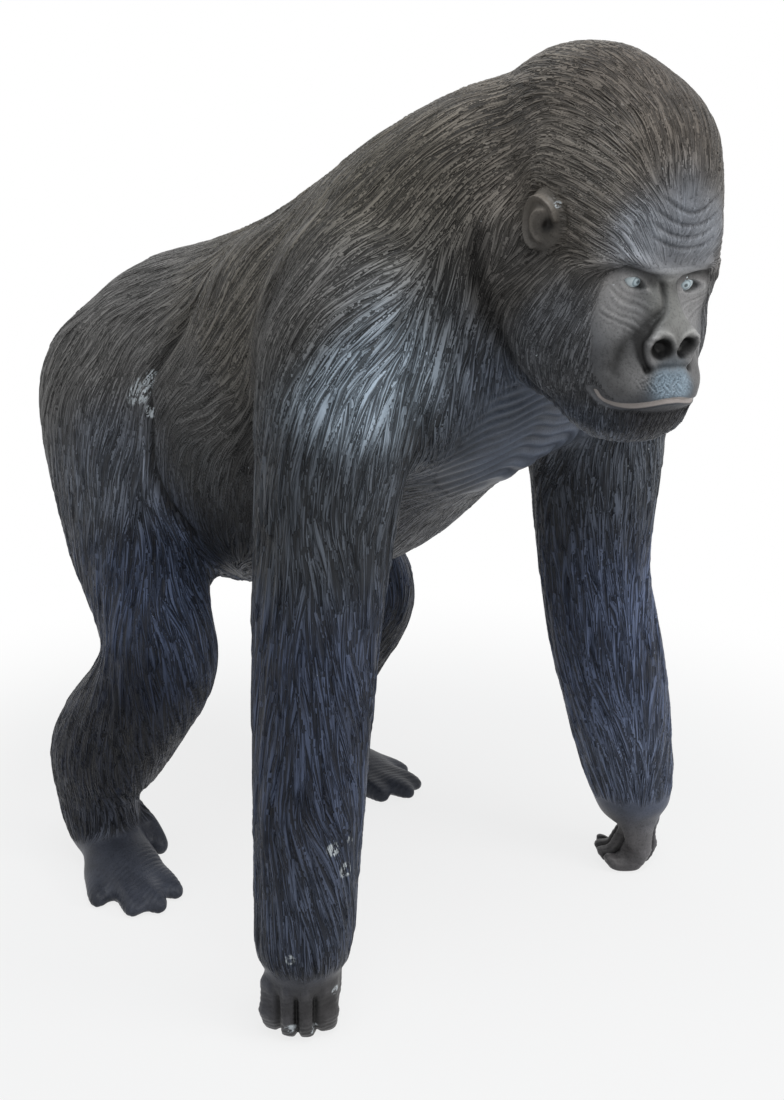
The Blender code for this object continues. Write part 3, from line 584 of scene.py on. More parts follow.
class Cells:
    """Points sorted into cubes, so that the ones near a place are found without looking at the rest."""

    def __init__(self, points, size):
        self.size, self.low = size, points.min(0) - size
        cell = ((points - self.low) / size).astype(np.int64)
        self.count = cell.max(0) + 2
        key = self.key(cell[:, 0], cell[:, 1], cell[:, 2])
        self.order = np.argsort(key, kind="stable")
        self.start = np.searchsorted(key[self.order], np.arange(self.count.prod() + 1))

    def key(self, x, y, z):
        return (x * self.count[1] + y) * self.count[2] + z

    def near(self, low, high):
        """Indices of the points in the cubes that the box from low to high touches."""
        a = np.clip(((low - self.low) / self.size).astype(int), 0, self.count - 1)
        b = np.clip(((high - self.low) / self.size).astype(int), 0, self.count - 1)
        runs = [
            self.order[self.start[self.key(x, y, a[2])] : self.start[self.key(x, y, b[2]) + 1]]
            for x in range(a[0], b[0] + 1)
            for y in range(a[1], b[1] + 1)
        ]
        return np.concatenate(runs)


def plant_locks(points, normals, quads, random):
    """Places the locks of hair on the skin: centre lines, side directions, normals and sizes.

    Roots are one vertex picked at random from each small cube, the cube's size following the lock's. A centre
    line starts at its root and follows the combing chart, and is laid back on the skin after each step."""
    hair = skin_masks(points)[0]
    _, size = comb(points, normals)
    spacing = LOCK_SPACING * np.sqrt(size[:, 0] * size[:, 1])
    roots = []
    grade = np.abs(np.log(spacing[:, None] / ROOT_CUBES)).argmin(1)
    for k, cube in enumerate(ROOT_CUBES):
        pick = np.flatnonzero((grade == k) & (hair > 0.2))
        if len(pick):
            pick = random.permutation(pick)
            _, first = np.unique(np.floor(points[pick] / cube).astype(int), axis=0, return_index=True)
            roots.append(pick[first])
    roots = np.concatenate(roots)
    tree = BVHTree.FromPolygons(points.tolist(), quads.tolist())
    at, up = points[roots], normals[roots]
    _, size = comb(at, up)
    size = size * np.stack([random.uniform(0.7, 1.35, len(at)), random.uniform(0.75, 1.3, len(at)),
                            random.uniform(0.7, 1.3, len(at))], 1)
    turn = random.normal(0, 1, len(at)) * np.clip(size[:, 0] * 1.3, 0.05, 0.15)
    centres, ups, sides = [at], [up], []
    for k in range(LOCK_STEPS + 1):
        lie, _ = comb(at, up)
        side = np.cross(up, lie)
        lie = unit(lie + side * (turn * (1 - 1.2 * k / LOCK_STEPS))[:, None])
        sides.append(unit(np.cross(up, lie)))
        if k < LOCK_STEPS:
            at = at + lie * (size[:, :1] / LOCK_STEPS)
            found = [tree.find_nearest(p) for p in at.tolist()]
            at = np.array([f[0] for f in found])
            up = unit(0.5 * up + 0.5 * np.array([f[1] for f in found]))
            centres.append(at)
            ups.append(up)
    return dict(
        line=np.stack(centres, 1), up=np.stack(ups, 1), side=np.stack(sides, 1), size=size,
        lift=random.uniform(0, 1, len(roots)),
    )


def lock_place(points, lines, sides):
    """Where points lie on a lock: (part of its length from 0 to 1, distance to the side, overshoot).

    Each point's foot is the nearest place on the centre line's straight pieces."""
    a, d = lines[..., :-1, :], np.diff(lines, axis=-2)
    rel = points[:, None] - a
    u = (rel * d).sum(-1) / (d * d).sum(-1)
    over, u = u, np.clip(u, 0, 1)
    off = rel - u[..., None] * d
    away = (off**2).sum(-1)
    j = away.argmin(1)
    row = np.arange(len(points))
    side = sides[..., :-1, :]
    side = side[row, j] if side.ndim == 3 else side[j]
    u, over = u[row, j], over[row, j]
    beyond = ((j == 0) & (over < 0)) | ((j == LOCK_STEPS - 1) & (over > 1))
    return (j + u) / LOCK_STEPS, (off[row, j] * side).sum(1), beyond


def lock_width(along):
    """A lock's half width along its length: it widens from the root and runs to a point at the tip."""
    return np.sqrt(np.clip(along / 0.22, 0, 1)) * np.clip(1 - along**2.6, 0, 1) ** 0.85


def carve_locks(points, normals, locks):
    """Height of the hair over the skin, and the lock on top at each point (-1 where there is none).

    A lock's height rises from root to tip, drops at the very tip and is round across, with three grooves that
    meet at the tip. Where locks overlap, the highest shows."""
    height = np.zeros(len(points))
    top = np.full(len(points), -1)
    cells = Cells(points, 0.03)
    middles = locks["line"][:, LOCK_STEPS // 2]
    margin = 0.6 * locks["size"][:, :1] + locks["size"][:, 1:2]
    reached = (middles > points.min(0) - margin) & (middles < points.max(0) + margin)
    for i in np.flatnonzero(reached.all(1)):
        line, (length, width, tall) = locks["line"][i], locks["size"][i]
        near = cells.near(line.min(0) - width, line.max(0) + width)
        middle = line[LOCK_STEPS // 2]
        near = near[((points[near] - middle) ** 2).sum(1) < (0.62 * length + width) ** 2]
        near = near[normals[near] @ locks["up"][i, LOCK_STEPS // 2] > 0.25]
        if not len(near):
            continue
        along, aside, beyond = lock_place(points[near], line, locks["side"][i])
        half = np.maximum(width * lock_width(along), 1e-6)
        across = aside / half
        on = (np.abs(across) < 1) & ~beyond
        near, along, across = near[on], along[on], across[on]
        rise = tall * (0.25 + 0.75 * along + 0.60 * locks["lift"][i]) * np.sqrt(1 - across**2)
        rise -= 0.12 * tall * (0.5 + 0.5 * np.cos(3 * math.pi * across))
        rise *= np.clip((1 - along) / 0.20, 0.15, 1) ** 0.5
        more = rise > height[near]
        height[near[more]] = rise[more]
        top[near[more]] = i
    return height, top


def hair_map(points, corners, top, locks):
    """Each face corner's place on its face's lock, as UV: metres along it and metres across it.

    The distance across is divided by the lock's width there, so that strands meet at the tip."""
    face_lock = top[corners].max(1)
    lock = np.repeat(face_lock, corners.shape[1])
    on = np.flatnonzero(lock >= 0)
    uv = np.zeros((corners.size, 2))
    flat = corners.ravel()
    for part in np.array_split(on, max(1, len(on) // 100000)):
        i = lock[part]
        along, aside, _ = lock_place(points[flat[part]], locks["line"][i], locks["side"][i])
        width = locks["size"][i, 1]
        half = width * np.maximum(lock_width(along), 0.15)
        uv[part] = np.stack([along * locks["size"][i, 0], aside / half * width], 1)
    return uv, face_lock


PARTS = ["head", "chest", "back", "right_arm", "left_arm", "right_hand", "left_hand", "right_leg", "left_leg",
         "right_foot", "left_foot"]
FINE_PARTS = ("head", "right_hand", "left_hand", "right_foot", "left_foot")


def part_of(points):
    """Which part each point belongs to, as an index into PARTS, by planes through the neck, the body's middle,
    the armpits, the groin, the wrists and the ankles."""
    h = in_head(points)
    x, y, z = points.T
    out = np.where(y < 0.02, 1, 2)
    arm = (z < 0.66) & (y < 0.0) & (np.abs(x) > 0.12)
    leg = (z < 0.50) & (y >= 0.0)
    left = x > 0
    out = np.where(arm, np.where(left, 4, 3), out)
    out = np.where(arm & (z < 0.20), np.where(left, 6, 5), out)
    out = np.where(leg, np.where(left, 8, 7), out)
    out = np.where(leg & (z < 0.12), np.where(left, 10, 9), out)
    head = (h[:, 1] < 0.045 - 1.0 * np.maximum(0, -0.09 - h[:, 2])) & (h[:, 2] > -0.208)
    return np.where(head, 0, out)


def close_holes(points, quads):
    """Fans that close a piece where it meets its neighbours: a triangle from each open edge to the middle of
    its loop. Loops are told apart by passing the lowest label along the open edges."""
    n = len(points)
    open_edge = open_edges(quads, n)
    label = np.arange(n)
    while True:
        low = label.copy()
        np.minimum.at(low, open_edge[:, 0], label[open_edge[:, 1]])
        np.minimum.at(low, open_edge[:, 1], label[open_edge[:, 0]])
        low = low[low]
        if (low == label).all():
            break
        label = low
    loops, which = np.unique(label[open_edge[:, 0]], return_inverse=True)
    total = np.bincount(which)
    middles = np.stack([np.bincount(which, points[open_edge[:, 0], k]) / total for k in range(3)], 1)
    fans = np.stack([open_edge[:, 1], open_edge[:, 0], n + which], 1)
    return np.concatenate([points, middles]), fans


def new_mesh(name, points, faces, normals=None):
    """A mesh object from arrays of points and faces. Faces is a list of arrays, each of one corner count.

    Given normals shade it, so that parts cut from one surface show no seam."""
    mesh = bpy.data.meshes.new(name)
    corners = np.concatenate([f.ravel() for f in faces])
    totals = np.concatenate([np.full(len(f), f.shape[1]) for f in faces])
    mesh.vertices.add(len(points))
    mesh.vertices.foreach_set("co", points.astype(np.float32).ravel())
    mesh.loops.add(len(corners))
    mesh.loops.foreach_set("vertex_index", corners.astype(np.int32))
    mesh.polygons.add(len(totals))
    mesh.polygons.foreach_set("loop_start", (np.cumsum(totals) - totals).astype(np.int32))
    mesh.polygons.foreach_set("use_smooth", np.full(len(totals), True))
    mesh.update(calc_edges=True)
    if mesh.validate():
        raise RuntimeError(f"{name} has faulty faces")
    if normals is not None:
        mesh.normals_split_custom_set_from_vertices(normals.tolist())
    piece = bpy.data.objects.new(name, mesh)
    bpy.context.scene.collection.objects.link(piece)
    return piece


def put_values(mesh, name, values, domain="POINT"):
    """Stores one number per vertex or face under that name."""
    mesh.attributes.new(name, "FLOAT", domain).data.foreach_set("value", values.astype(np.float32))


def put_colours(mesh, name, colours):
    """Stores one colour per vertex under that name."""
    rgba = np.concatenate([colours, np.ones((len(colours), 1))], 1).astype(np.float32)
    mesh.attributes.new(name, "FLOAT_COLOR", "POINT").data.foreach_set("color", rgba.ravel())


def linear(colour):
    """A colour given in 0 to 255 as the shader reads it: its display curve undone."""
    c = np.asarray(colour) / 255
    return np.where(c < 0.04045, c / 12.92, ((c + 0.055) / 1.055) ** 2.4)


def head_share(h):
    """1 on the head and 0 on the body, for points in the head's frame."""
    return step(1.15, 0.85, blob(h, [0.0, -0.06, 0.0], [0.19, 0.20, 0.24]))


def paint(points):
    """The paint's colour at each point: each tone counts with 1 over (1 plus its distance over its reach, squared)
    cubed, and x is folded so that both sides match. Painted light is multiplied in: painted shade in the creases of
    hip, arm and jaw, under the brow and in the nostrils, painted highlights on the nostrils' rims, along the hip
    crease's lower edge and over the left arm; the ear is darker too."""
    fold = both_sides(points)
    h = both_sides(in_head(points))
    on_head = head_share(h)
    total, weights = np.zeros((len(points), 3)), np.zeros((len(points), 1))
    for tones, at, share in ((PAINT, fold, 1 - on_head), (HEAD_PAINT, h, on_head)):
        for *place, reach, red, green, blue in tones:
            away = ((at - mm(*place)) ** 2).sum(1) / (reach / 1000) ** 2
            weight = (share / (1 + away) ** 3)[:, None]
            total += weight * linear((red, green, blue))
            weights += weight
    # painted shade in the creases of hip and arm
    shade = 1 - 0.75 * bell(line_distance(fold, HIP_CREASE, ACROSS_SIDE), 0.012)
    shade *= 1 - 0.60 * bell(line_distance(fold, ARM_CREASE, ACROSS_SIDE), 0.030)
    # painted highlight along the hip crease's lower edge
    edge = line_distance(fold - [0, 0.020, -0.008], HIP_CREASE[3:], ACROSS_SIDE)
    shade *= 1 + 1.1 * bell(edge, 0.008)
    f = on_face(in_head(points))
    # painted shadow under the brow's overhang
    brow = line_distance(f + [0, 0, 0.014], BROW_EDGE)
    shade *= 1 - 0.55 * bell(brow, 0.007) * step(-0.09, -0.11, h[:, 1])
    # painted highlight on the nostrils' rims
    rim = line_distance(f, NOSTRIL_RIM[2:])
    shade *= 1 + 0.5 * bell(rim, 0.0026)
    # painted shade in the crease under the jowl
    shade *= 1 - 0.65 * bell(line_distance(h, JAW_CREASE, ALL_ROUND), 0.012)
    shade *= 1 - 0.30 * step(1.15, 0.95, blob(h, EAR, EAR_RADII))
    # painted light: the left arm is painted paler, as if lit more strongly than the right
    shade *= 1 + 0.95 * step(0.12, 0.30, points[:, 0]) * step(0.82, 0.50, points[:, 2]) * (points[:, 1] < 0)
    # painted shade in the nostrils' hollows
    shade *= 1 - 0.75 * np.exp(-(blob(h, NOSTRIL, NOSTRIL_RADII) ** 4))
    return total / weights * shade[:, None]


def chipped(points):
    """How far the paint is chipped at each point: the most of e to the minus (distance over size) squared."""
    return np.max([bell(np.linalg.norm(points - mm(*at), axis=1), reach / 1000) for *at, reach in CHIPS], axis=0)


class Maths:
    """A shader socket that plain arithmetic works on; each operation adds its node."""

    def __init__(self, tree, socket):
        self.tree, self.socket = tree, socket

    def node(self, kind, settings=None, **values):
        """Adds a node, sets its settings first and then its sockets by name or place, and returns it."""
        made = self.tree.nodes.new(kind)
        for key, value in (settings or {}).items():
            setattr(made, key, value)
        for key, value in values.items():
            socket = made.inputs[int(key[1:])] if key[0] == "_" else made.inputs[key.replace("_", " ")]
            if isinstance(value, Maths):
                self.tree.links.new(value.socket, socket)
            else:
                socket.default_value = value
        return made

    def out(self, kind, output=0, settings=None, **values):
        """The same, and returns one of its outputs."""
        return Maths(self.tree, self.node(kind, settings, **values).outputs[output])

    def do(self, operation, a, b=0.0, clamp=False):
        return self.out("ShaderNodeMath", settings={"operation": operation, "use_clamp": clamp}, _0=a, _1=b)

    def __add__(self, other):
        return self.do("ADD", self, other)

    def __sub__(self, other):
        return self.do("SUBTRACT", self, other)

    def __rsub__(self, other):
        return self.do("SUBTRACT", other, self)

    def __mul__(self, other):
        return self.do("MULTIPLY", self, other)

    __radd__ = __add__
    __rmul__ = __mul__

    def clamp(self):
        return self.do("ADD", self, 0.0, clamp=True)

    def ramp(self, low, high):
        """0 below low, 1 above high, smooth between."""
        return self.out("ShaderNodeMapRange", settings={"interpolation_type": "SMOOTHSTEP"},
                        Value=self, From_Min=low, From_Max=high)

    def blend(self, a, b):
        """Colour a where this is 0, and b where it is 1."""
        return self.out("ShaderNodeMix", 2, {"data_type": "RGBA"}, _0=self, _6=a, _7=b)


def rgba(colour):
    """A colour with its fourth number, for a socket."""
    return (*colour, 1.0)


def blank_material(name):
    """A material with only its output and a Principled BSDF, the Maths helper for its tree, and the BSDF."""
    material = bpy.data.materials.new(name)
    material.use_nodes = True
    tree = material.node_tree
    shader = tree.nodes["Principled BSDF"]
    return material, Maths(tree, None), shader


def link(m, value, socket):
    """Feeds a value to a socket that isn't one of a new node's."""
    m.tree.links.new(value.socket, socket)


def coat_material(settings):
    """Painted cast: the paint's tone, with painted shade in the grooves and pale paint on the ridges that is partly
    dry-brush and partly painted highlight, fine strands cut along each lock with painted shade between them, pitted
    bare skin with painted shade in the pits, and a few pale chips."""
    material, m, shader = blank_material("painted_cast")

    def attribute(name, output=2):
        return m.out("ShaderNodeAttribute", output, {"attribute_name": name})

    hair, lift, lip, chip = attribute("hair"), attribute("lift"), attribute("lip"), attribute("chip")
    calm = attribute("calm")
    tone, lock = attribute("paint", 0), attribute("lock")
    places = m.out("ShaderNodeTexCoord", 3)
    uv = m.out("ShaderNodeUVMap", settings={"uv_map": "strands"})
    parts = m.node("ShaderNodeSeparateXYZ", _0=uv)
    along, across = Maths(m.tree, parts.outputs[0]), Maths(m.tree, parts.outputs[1])
    strand_place = m.out("ShaderNodeCombineXYZ", _0=along * 13.0, _1=across * (1 / 0.0036), _2=lock * 7.31)
    strand = m.out("ShaderNodeTexNoise", 0, {"noise_dimensions": "3D"}, Vector=strand_place, Scale=1.0, Detail=1.5,
                   Roughness=0.5)
    ridge = strand.ramp(0.36, 0.62)
    pits = m.out("ShaderNodeTexNoise", 0, Vector=places, Scale=330.0, Detail=2.0, Roughness=0.6)
    cloud = m.out("ShaderNodeTexNoise", 0, Vector=places, Scale=9.0, Detail=4.0, Roughness=0.65)
    speck = m.out("ShaderNodeTexNoise", 0, Vector=places, Scale=95.0, Detail=3.0, Roughness=0.7)
    # how much pale paint sits on the relief: partly dry-brush paint and partly painted highlight on the ridges, and
    # painted shade in the grooves
    pale_brush_and_highlight = (lift * 0.80 + cloud * 1.3 + ridge * hair * 0.30 - 0.66).clamp()
    gain = pale_brush_and_highlight * 1.80 + 0.14
    # painted shade in the grooves between strands, less on the head
    gain = gain * (1 - (1 - ridge) * hair * (1 - calm * 0.40) * 0.78)
    # painted shade in the pits of the bare skin
    gain = gain * (1 - pits.ramp(0.50, 0.34) * (1 - hair) * 0.25)
    colour = m.out("ShaderNodeVectorMath", 0, {"operation": "SCALE"}, _0=tone, Scale=gain)
    colour = lip.ramp(0.25, 0.60).blend(colour, rgba(settings.lip))
    ragged = speck * 0.6 + strand * 0.5
    flecks = speck.ramp(0.72, 0.75) * cloud.ramp(0.50, 0.62)
    flaked = (ragged.ramp(0.53, 0.60) * chip.ramp(0.20, 0.50) + flecks).clamp()
    colour = flaked.blend(colour, rgba(settings.chip))
    link(m, colour, shader.inputs["Base Color"])
    link(m, cloud * 0.16 + 0.34, shader.inputs["Roughness"])
    shader.inputs["Specular IOR Level"].default_value = 0.22
    relief = ridge * hair * 0.0032 + strand * hair * 0.0020 + pits * (1 - hair) * 0.0006
    bump = m.out("ShaderNodeBump", Strength=1.0, Distance=1.0, Height=relief)
    link(m, bump, shader.inputs["Normal"])
    return material


def eye_material(settings):
    """Painted eye: a pale ball with a darker iris and pupil, by the distance from the sight line, in metres."""
    material, m, shader = blank_material("painted_eye")
    away = m.out("ShaderNodeAttribute", 2, {"attribute_name": "from_pupil"})
    iris = away.ramp(0.0078, 0.0066)
    ring = away.ramp(0.0046, 0.0066) * iris
    pupil = away.ramp(0.0034, 0.0018)
    colour = iris.blend(rgba(settings.eye_white), rgba(settings.iris))
    colour = ring.blend(colour, rgba(settings.iris_ring))
    colour = pupil.blend(colour, rgba(settings.pupil))
    link(m, colour, shader.inputs["Base Color"])
    shader.inputs["Roughness"].default_value = 0.3
    return material


def finish_piece(piece, material):
    """Gives a piece its material and body."""
    piece.data.materials.append(material)
    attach(piece, BODY)


def make_statue(size):
    """The statue's skin in closed parts: the fine net, the face's carving and the locks of hair.

    The whole surface is carved first, and gives every part its rim and the rim's normals. The fine parts are
    then carved again on a net of half the size."""
    voxel = size.net * 1.0
    points, quads = fine_skin(voxel)
    normals = unit(relax(quad_normals(points, quads), quads, 4))
    locks = plant_locks(points, normals, quads, np.random.default_rng(LOCK_SEED))
    locks["size"] *= [1, 1, size.depth]
    low, high = np.array(CAD_BOX[0]), np.array(CAD_BOX[1])
    material = coat_material(size)

    def carve(p, n):
        """Places after carving, and what the paint reads: hair, lip, lift (0 in a groove, 1 on a ridge, evened out
        on the head; the material turns it into painted shade in the grooves and pale paint with painted highlights
        on the ridges) and the lock on top."""
        hair, lip = skin_masks(p)
        height, top = carve_locks(p, n, locks)
        top[hair < 0.25] = -1
        tall = comb(p, n)[1][:, 2] * size.depth
        bare = face_relief(p) + limb_relief(p)
        moved = np.clip(p + n * (hair * (height - SUNK * tall) + bare)[:, None], low, high)
        calm = 0.55 * head_share(in_head(p))
        lift = hair * (np.clip(0.22 + height / (1.9 * tall), 0, 1) * (1 - calm) + 0.5 * calm)
        lift = lift + (1 - hair) * np.clip(0.62 + bare / 0.008, 0, 1)
        return moved, hair, lip, lift, top

    whole = carve(points, normals)
    shading = quad_normals(whole[0], quads)
    which = part_of(points[quads].mean(1))
    for k, name in enumerate(PARTS):
        used, own = np.unique(quads[which == k], return_inverse=True)
        own = own.reshape(-1, 4)
        p, n = points[used], normals[used]
        moved, hair, lip, lift, top = (v[used] for v in whole)
        shade = shading[used]
        if name in FINE_PARTS:
            coarse, coarse_shade = moved, shade
            p, own, n, (first, edges) = refine(p, own, n)
            rim = rim_of(own, len(p))
            p = relax(p, own, 2, rim)
            moved, hair, lip, lift, top = carve(p, n)
            rim_mids = first + np.flatnonzero(rim[first : first + len(edges)])
            ends = edges[rim_mids - first]
            rim_ends = np.flatnonzero(rim[:first])
            moved[rim_ends], moved[rim_mids] = coarse[rim_ends], coarse[ends].mean(1)
            shade = quad_normals(moved, own)
            shade[rim_ends], shade[rim_mids] = coarse_shade[rim_ends], unit(coarse_shade[ends].mean(1))
        uv, face_lock = hair_map(p, own, top, locks)
        full, fans = close_holes(moved, own)
        grown = len(full) - len(p)

        def pad(values):
            return np.concatenate([values, np.zeros((grown, *values.shape[1:]))])

        piece = new_mesh(name, full, [own, fans], pad(shade) + [0, 0, 1e-6])
        mesh = piece.data
        for key, values in (("hair", hair), ("lip", lip), ("lift", lift), ("chip", chipped(p)),
                            ("calm", head_share(in_head(p)))):
            put_values(mesh, key, pad(values))
        put_values(mesh, "lock", np.concatenate([face_lock, np.zeros(len(fans))]), "FACE")
        put_colours(mesh, "paint", pad(paint(p)))
        flat = np.concatenate([uv, np.zeros((fans.size, 2))]).astype(np.float32)
        mesh.uv_layers.new(name="strands").data.foreach_set("uv", flat.ravel())
        finish_piece(piece, material)
        if k == 0:
            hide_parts(NODE)


def rim_of(quads, count):
    """True for each vertex on an open edge."""
    out = np.zeros(count, bool)
    out[open_edges(quads, count).ravel()] = True
    return out


def ring_quads(rings, turns):
    """Quads between neighbouring rings of points, each ring closed on itself."""
    k = np.arange((rings - 1) * turns).reshape(rings - 1, turns)
    ahead = np.roll(k, -1, 1)
    return np.stack([k, k + turns, ahead + turns, ahead], 2).reshape(-1, 4)


def make_eyes(size):
    """Two eyeballs: a sphere by latitude and longitude about its sight line, with a slight swell in front."""
    material = eye_material(size)
    rings, turns = 22, 36
    tilt = np.linspace(0, math.pi, rings + 2)[1:-1, None]
    turn = np.linspace(0, 2 * math.pi, turns, endpoint=False)[None]
    swell = 1 + 0.03 * np.exp(-((tilt / 0.45) ** 2))
    ball = np.stack([np.sin(tilt) * np.cos(turn) * swell, -np.cos(tilt) * swell + 0 * turn,
                     np.sin(tilt) * np.sin(turn) * swell], 2).reshape(-1, 3)
    ball = np.concatenate([ball, [[0, -1.03, 0], [0, 1, 0]]])
    ring = np.arange(turns)
    last = (rings - 1) * turns
    caps = np.concatenate([
        np.stack([ring, np.roll(ring, -1), np.full(turns, len(ball) - 2)], 1),
        np.stack([last + np.roll(ring, -1), last + ring, np.full(turns, len(ball) - 1)], 1),
    ])
    for name, side in (("right_eye", 1), ("left_eye", -1)):
        centre = (EYE + [0.003, size.eye_radius - 0.0016, 0]) * [side, 1, 1]
        centre += [FACE_SHIFT, 0, -FACE_TILT * centre[0]]
        piece = new_mesh(name, from_head(ball * size.eye_radius + centre),
                         [ring_quads(rings, turns), caps])
        bm = bmesh.new()
        bm.from_mesh(piece.data)
        bmesh.ops.recalc_face_normals(bm, faces=bm.faces)
        bm.to_mesh(piece.data)
        bm.free()
        look = unit(np.array([0.10 * side, -1, 0.02]))
        put_values(piece.data, "from_pupil", np.linalg.norm(ball - look, axis=1) * size.eye_radius)
        finish_piece(piece, material)


def seen_rays(m):
    """1 for the rays that show a surface itself, in view or in a reflection, and 0 for those that light."""
    path = m.node("ShaderNodeLightPath")
    kinds = [Maths(m.tree, path.outputs[kind]) for kind in ("Is Camera Ray", "Is Glossy Ray", "Is Transmission Ray")]
    return (kinds[0] + kinds[1] + kinds[2]).clamp()


def stage_floor():
    """A round pale floor that fades into the white background towards its rim."""
    rings, turns = 24, 64
    r = np.linspace(0, 1, rings + 1)[1:, None] ** 1.5 * 9.0
    a = np.linspace(0, 2 * math.pi, turns, endpoint=False)[None]
    points = np.stack([r * np.cos(a), r * np.sin(a), 0 * r * a - 0.0005], 2).reshape(-1, 3)
    points = np.concatenate([points, [[0, 0, -0.0005]]])
    ring = np.arange(turns)
    fans = np.stack([ring, np.roll(ring, -1), np.full(turns, len(points) - 1)], 1)
    floor = new_mesh("floor", points, [ring_quads(rings, turns), fans])
    material = bpy.data.materials.new("pale_floor")
    material.use_nodes = True
    m = Maths(material.node_tree, None)
    m.tree.nodes.clear()
    away = m.out("ShaderNodeVectorMath", 1, {"operation": "LENGTH"}, _0=m.out("ShaderNodeTexCoord", 3))
    ground = m.out("ShaderNodeBsdfDiffuse", Color=(0.62, 0.62, 0.62, 1))
    glow = m.out("ShaderNodeEmission", Color=(1, 1, 1, 1), Strength=1.0)
    mix = m.out("ShaderNodeMixShader", _0=seen_rays(m) * (away.ramp(0.7, 1.7) * 0.2 + 0.8), _1=ground, _2=glow)
    m.node("ShaderNodeOutputMaterial", _0=mix)
    floor.data.materials.append(material)


def lamp(name, place, target, size, watts, colour):
    """A square soft lamp at a place, facing a target."""
    light = bpy.data.lights.new(name, "AREA")
    light.shape, light.size, light.energy, light.color = "SQUARE", size, watts, colour
    made = bpy.data.objects.new(name, light)
    bpy.context.scene.collection.objects.link(made)
    made.location = place
    made.rotation_euler = aim_turns(np.asarray(target, float) - place)


def aim_turns(direction):
    """Turns that point a lamp's -z along a direction, its x staying level."""
    x, y, z = unit(direction)
    return (math.acos(max(-1, min(1, -z))), 0, math.atan2(x, -y) + math.pi) if abs(z) < 0.9999 else (0, 0, 0)


def make_stage():
    """Floor, lamps, pale surroundings and the camera at the photograph's place."""
    stage_floor()
    scene = bpy.context.scene
    world = bpy.data.worlds.new("surroundings")
    world.use_nodes = True
    scene.world = world
    m = Maths(world.node_tree, None)
    m.tree.nodes.clear()
    sky = m.out("ShaderNodeBackground", Color=(0.93, 0.97, 1.0, 1), Strength=0.42)
    white = m.out("ShaderNodeBackground", Color=(1, 1, 1, 1), Strength=1.0)
    m.node("ShaderNodeOutputWorld", _0=m.out("ShaderNodeMixShader", _0=seen_rays(m), _1=sky, _2=white))
    lamp("sky_panel", (-0.6, -1.2, 3.4), (0, 0, 0.7), 1.8, 62, (0.95, 0.98, 1.0))
    lamp("side_panel", (0.9, -3.0, 1.8), (0, 0, 0.7), 1.2, 32, (1.0, 0.98, 0.96))
    camera = bpy.data.objects.new("camera", bpy.data.cameras.new("camera"))
    scene.collection.objects.link(camera)
    scene.camera = camera
    camera.data.sensor_fit = "VERTICAL"
    camera.data.sensor_height = SENSOR
    camera.data.lens = FOCAL * SENSOR / PHOTO_HEIGHT
    camera.location = CAMERA
    camera.rotation_euler = (math.pi / 2 - math.atan(AIM_BELOW / FOCAL), 0, math.radians(-45))
    scene.view_settings.view_transform = "Standard"


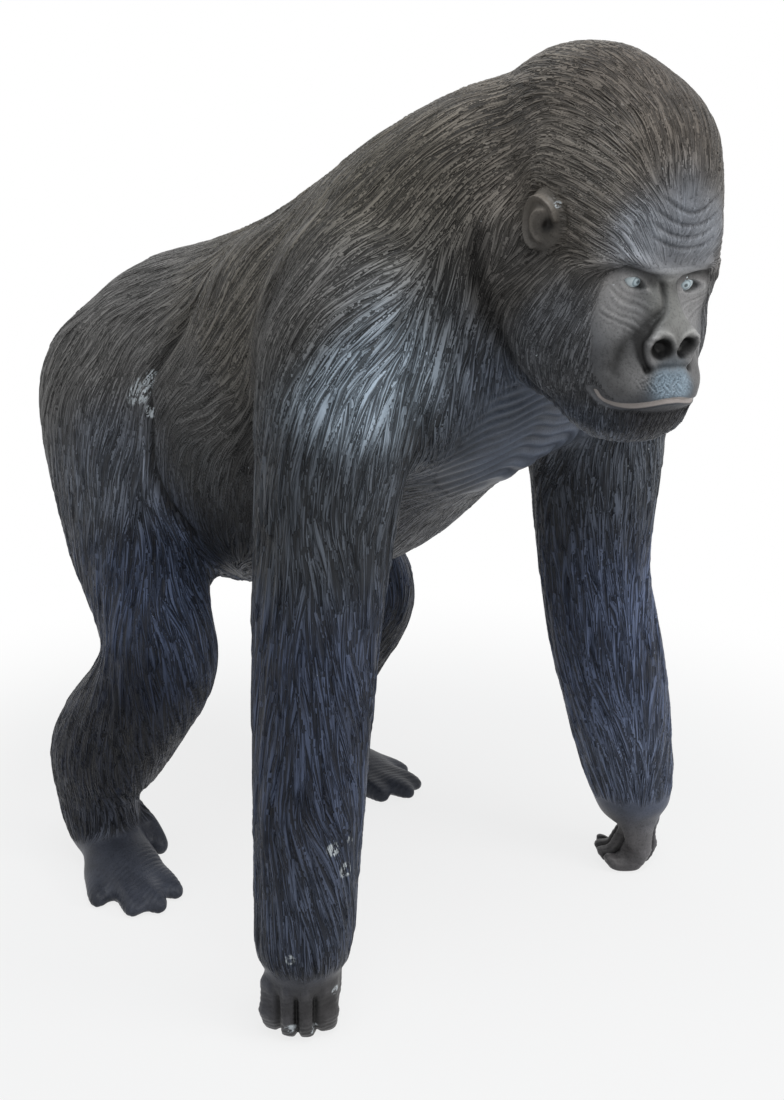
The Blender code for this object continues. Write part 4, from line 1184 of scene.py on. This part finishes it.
class StatueSettings(bpy.types.PropertyGroup):
    """Sizes and colours that a user may change on the statue."""

    net: bpy.props.FloatProperty(name="Net", description="Side of one quad of the body's skin", default=0.0037,
                                 min=0.003, unit="LENGTH")
    depth: bpy.props.FloatProperty(name="Carving", description="Depth of the carved hair, as a share of the chart's",
                                   default=1.2, subtype="FACTOR")
    eye_radius: bpy.props.FloatProperty(name="Eye", description="Radius of an eyeball", default=0.0180,
                                        unit="LENGTH")
    lip: bpy.props.FloatVectorProperty(
        name="Lip", description="Paint along the mouth", subtype="COLOR", min=0, max=1,
        default=linear((168, 160, 156)).tolist())
    chip: bpy.props.FloatVectorProperty(
        name="Chips", description="What shows where the paint is chipped", subtype="COLOR", min=0, max=1,
        default=linear((196, 202, 206)).tolist())
    eye_white: bpy.props.FloatVectorProperty(
        name="Eye white", description="Paint of the eyeballs", subtype="COLOR", min=0, max=1,
        default=linear((214, 226, 230)).tolist())
    iris: bpy.props.FloatVectorProperty(
        name="Iris", description="Paint of the irises", subtype="COLOR", min=0, max=1,
        default=linear((198, 214, 220)).tolist())
    iris_ring: bpy.props.FloatVectorProperty(
        name="Iris ring", description="Paint of the ring in each iris", subtype="COLOR", min=0, max=1,
        default=linear((140, 156, 164)).tolist())
    pupil: bpy.props.FloatVectorProperty(
        name="Pupil", description="Paint of the pupils", subtype="COLOR", min=0, max=1,
        default=linear((92, 104, 110)).tolist())


class STATUE_OT_skin(bpy.types.Operator):
    """Makes the carved and painted skin"""

    bl_idname = "statue.skin"
    bl_label = "Carved skin"

    def execute(self, context):
        make_statue(context.scene.statue_settings)
        return {"FINISHED"}


class STATUE_OT_eyes(bpy.types.Operator):
    """Makes the two painted eyes"""

    bl_idname = "statue.eyes"
    bl_label = "Eyes"

    def execute(self, context):
        make_eyes(context.scene.statue_settings)
        return {"FINISHED"}


class STATUE_OT_stage(bpy.types.Operator):
    """Makes the floor, the lamps and the camera"""

    bl_idname = "statue.stage"
    bl_label = "Stage"

    def execute(self, context):
        make_stage()
        return {"FINISHED"}


class STATUE_PT_panel(bpy.types.Panel):
    """Lists the statue's settings and the buttons that make its pieces"""

    bl_idname = "STATUE_PT_panel"
    bl_label = "Gorilla statue"
    bl_space_type = "VIEW_3D"
    bl_region_type = "UI"
    bl_category = "Statue"

    def draw(self, context):
        column = self.layout.column()
        for name in StatueSettings.__annotations__:
            column.prop(context.scene.statue_settings, name)
        for operator in OPERATORS:
            column.operator(operator.bl_idname)


OPERATORS = (STATUE_OT_skin, STATUE_OT_eyes, STATUE_OT_stage)
CLASSES = (StatueSettings, *OPERATORS, STATUE_PT_panel)


def register():
    for cls in CLASSES:
        bpy.utils.register_class(cls)
    bpy.types.Scene.statue_settings = bpy.props.PointerProperty(type=StatueSettings)


def unregister():
    del bpy.types.Scene.statue_settings
    for cls in reversed(CLASSES):
        bpy.utils.unregister_class(cls)


def main():
    register()
    bpy.ops.statue.skin()
    bpy.ops.statue.eyes()
    bpy.ops.statue.stage()


if __name__ == "__main__":
    main()
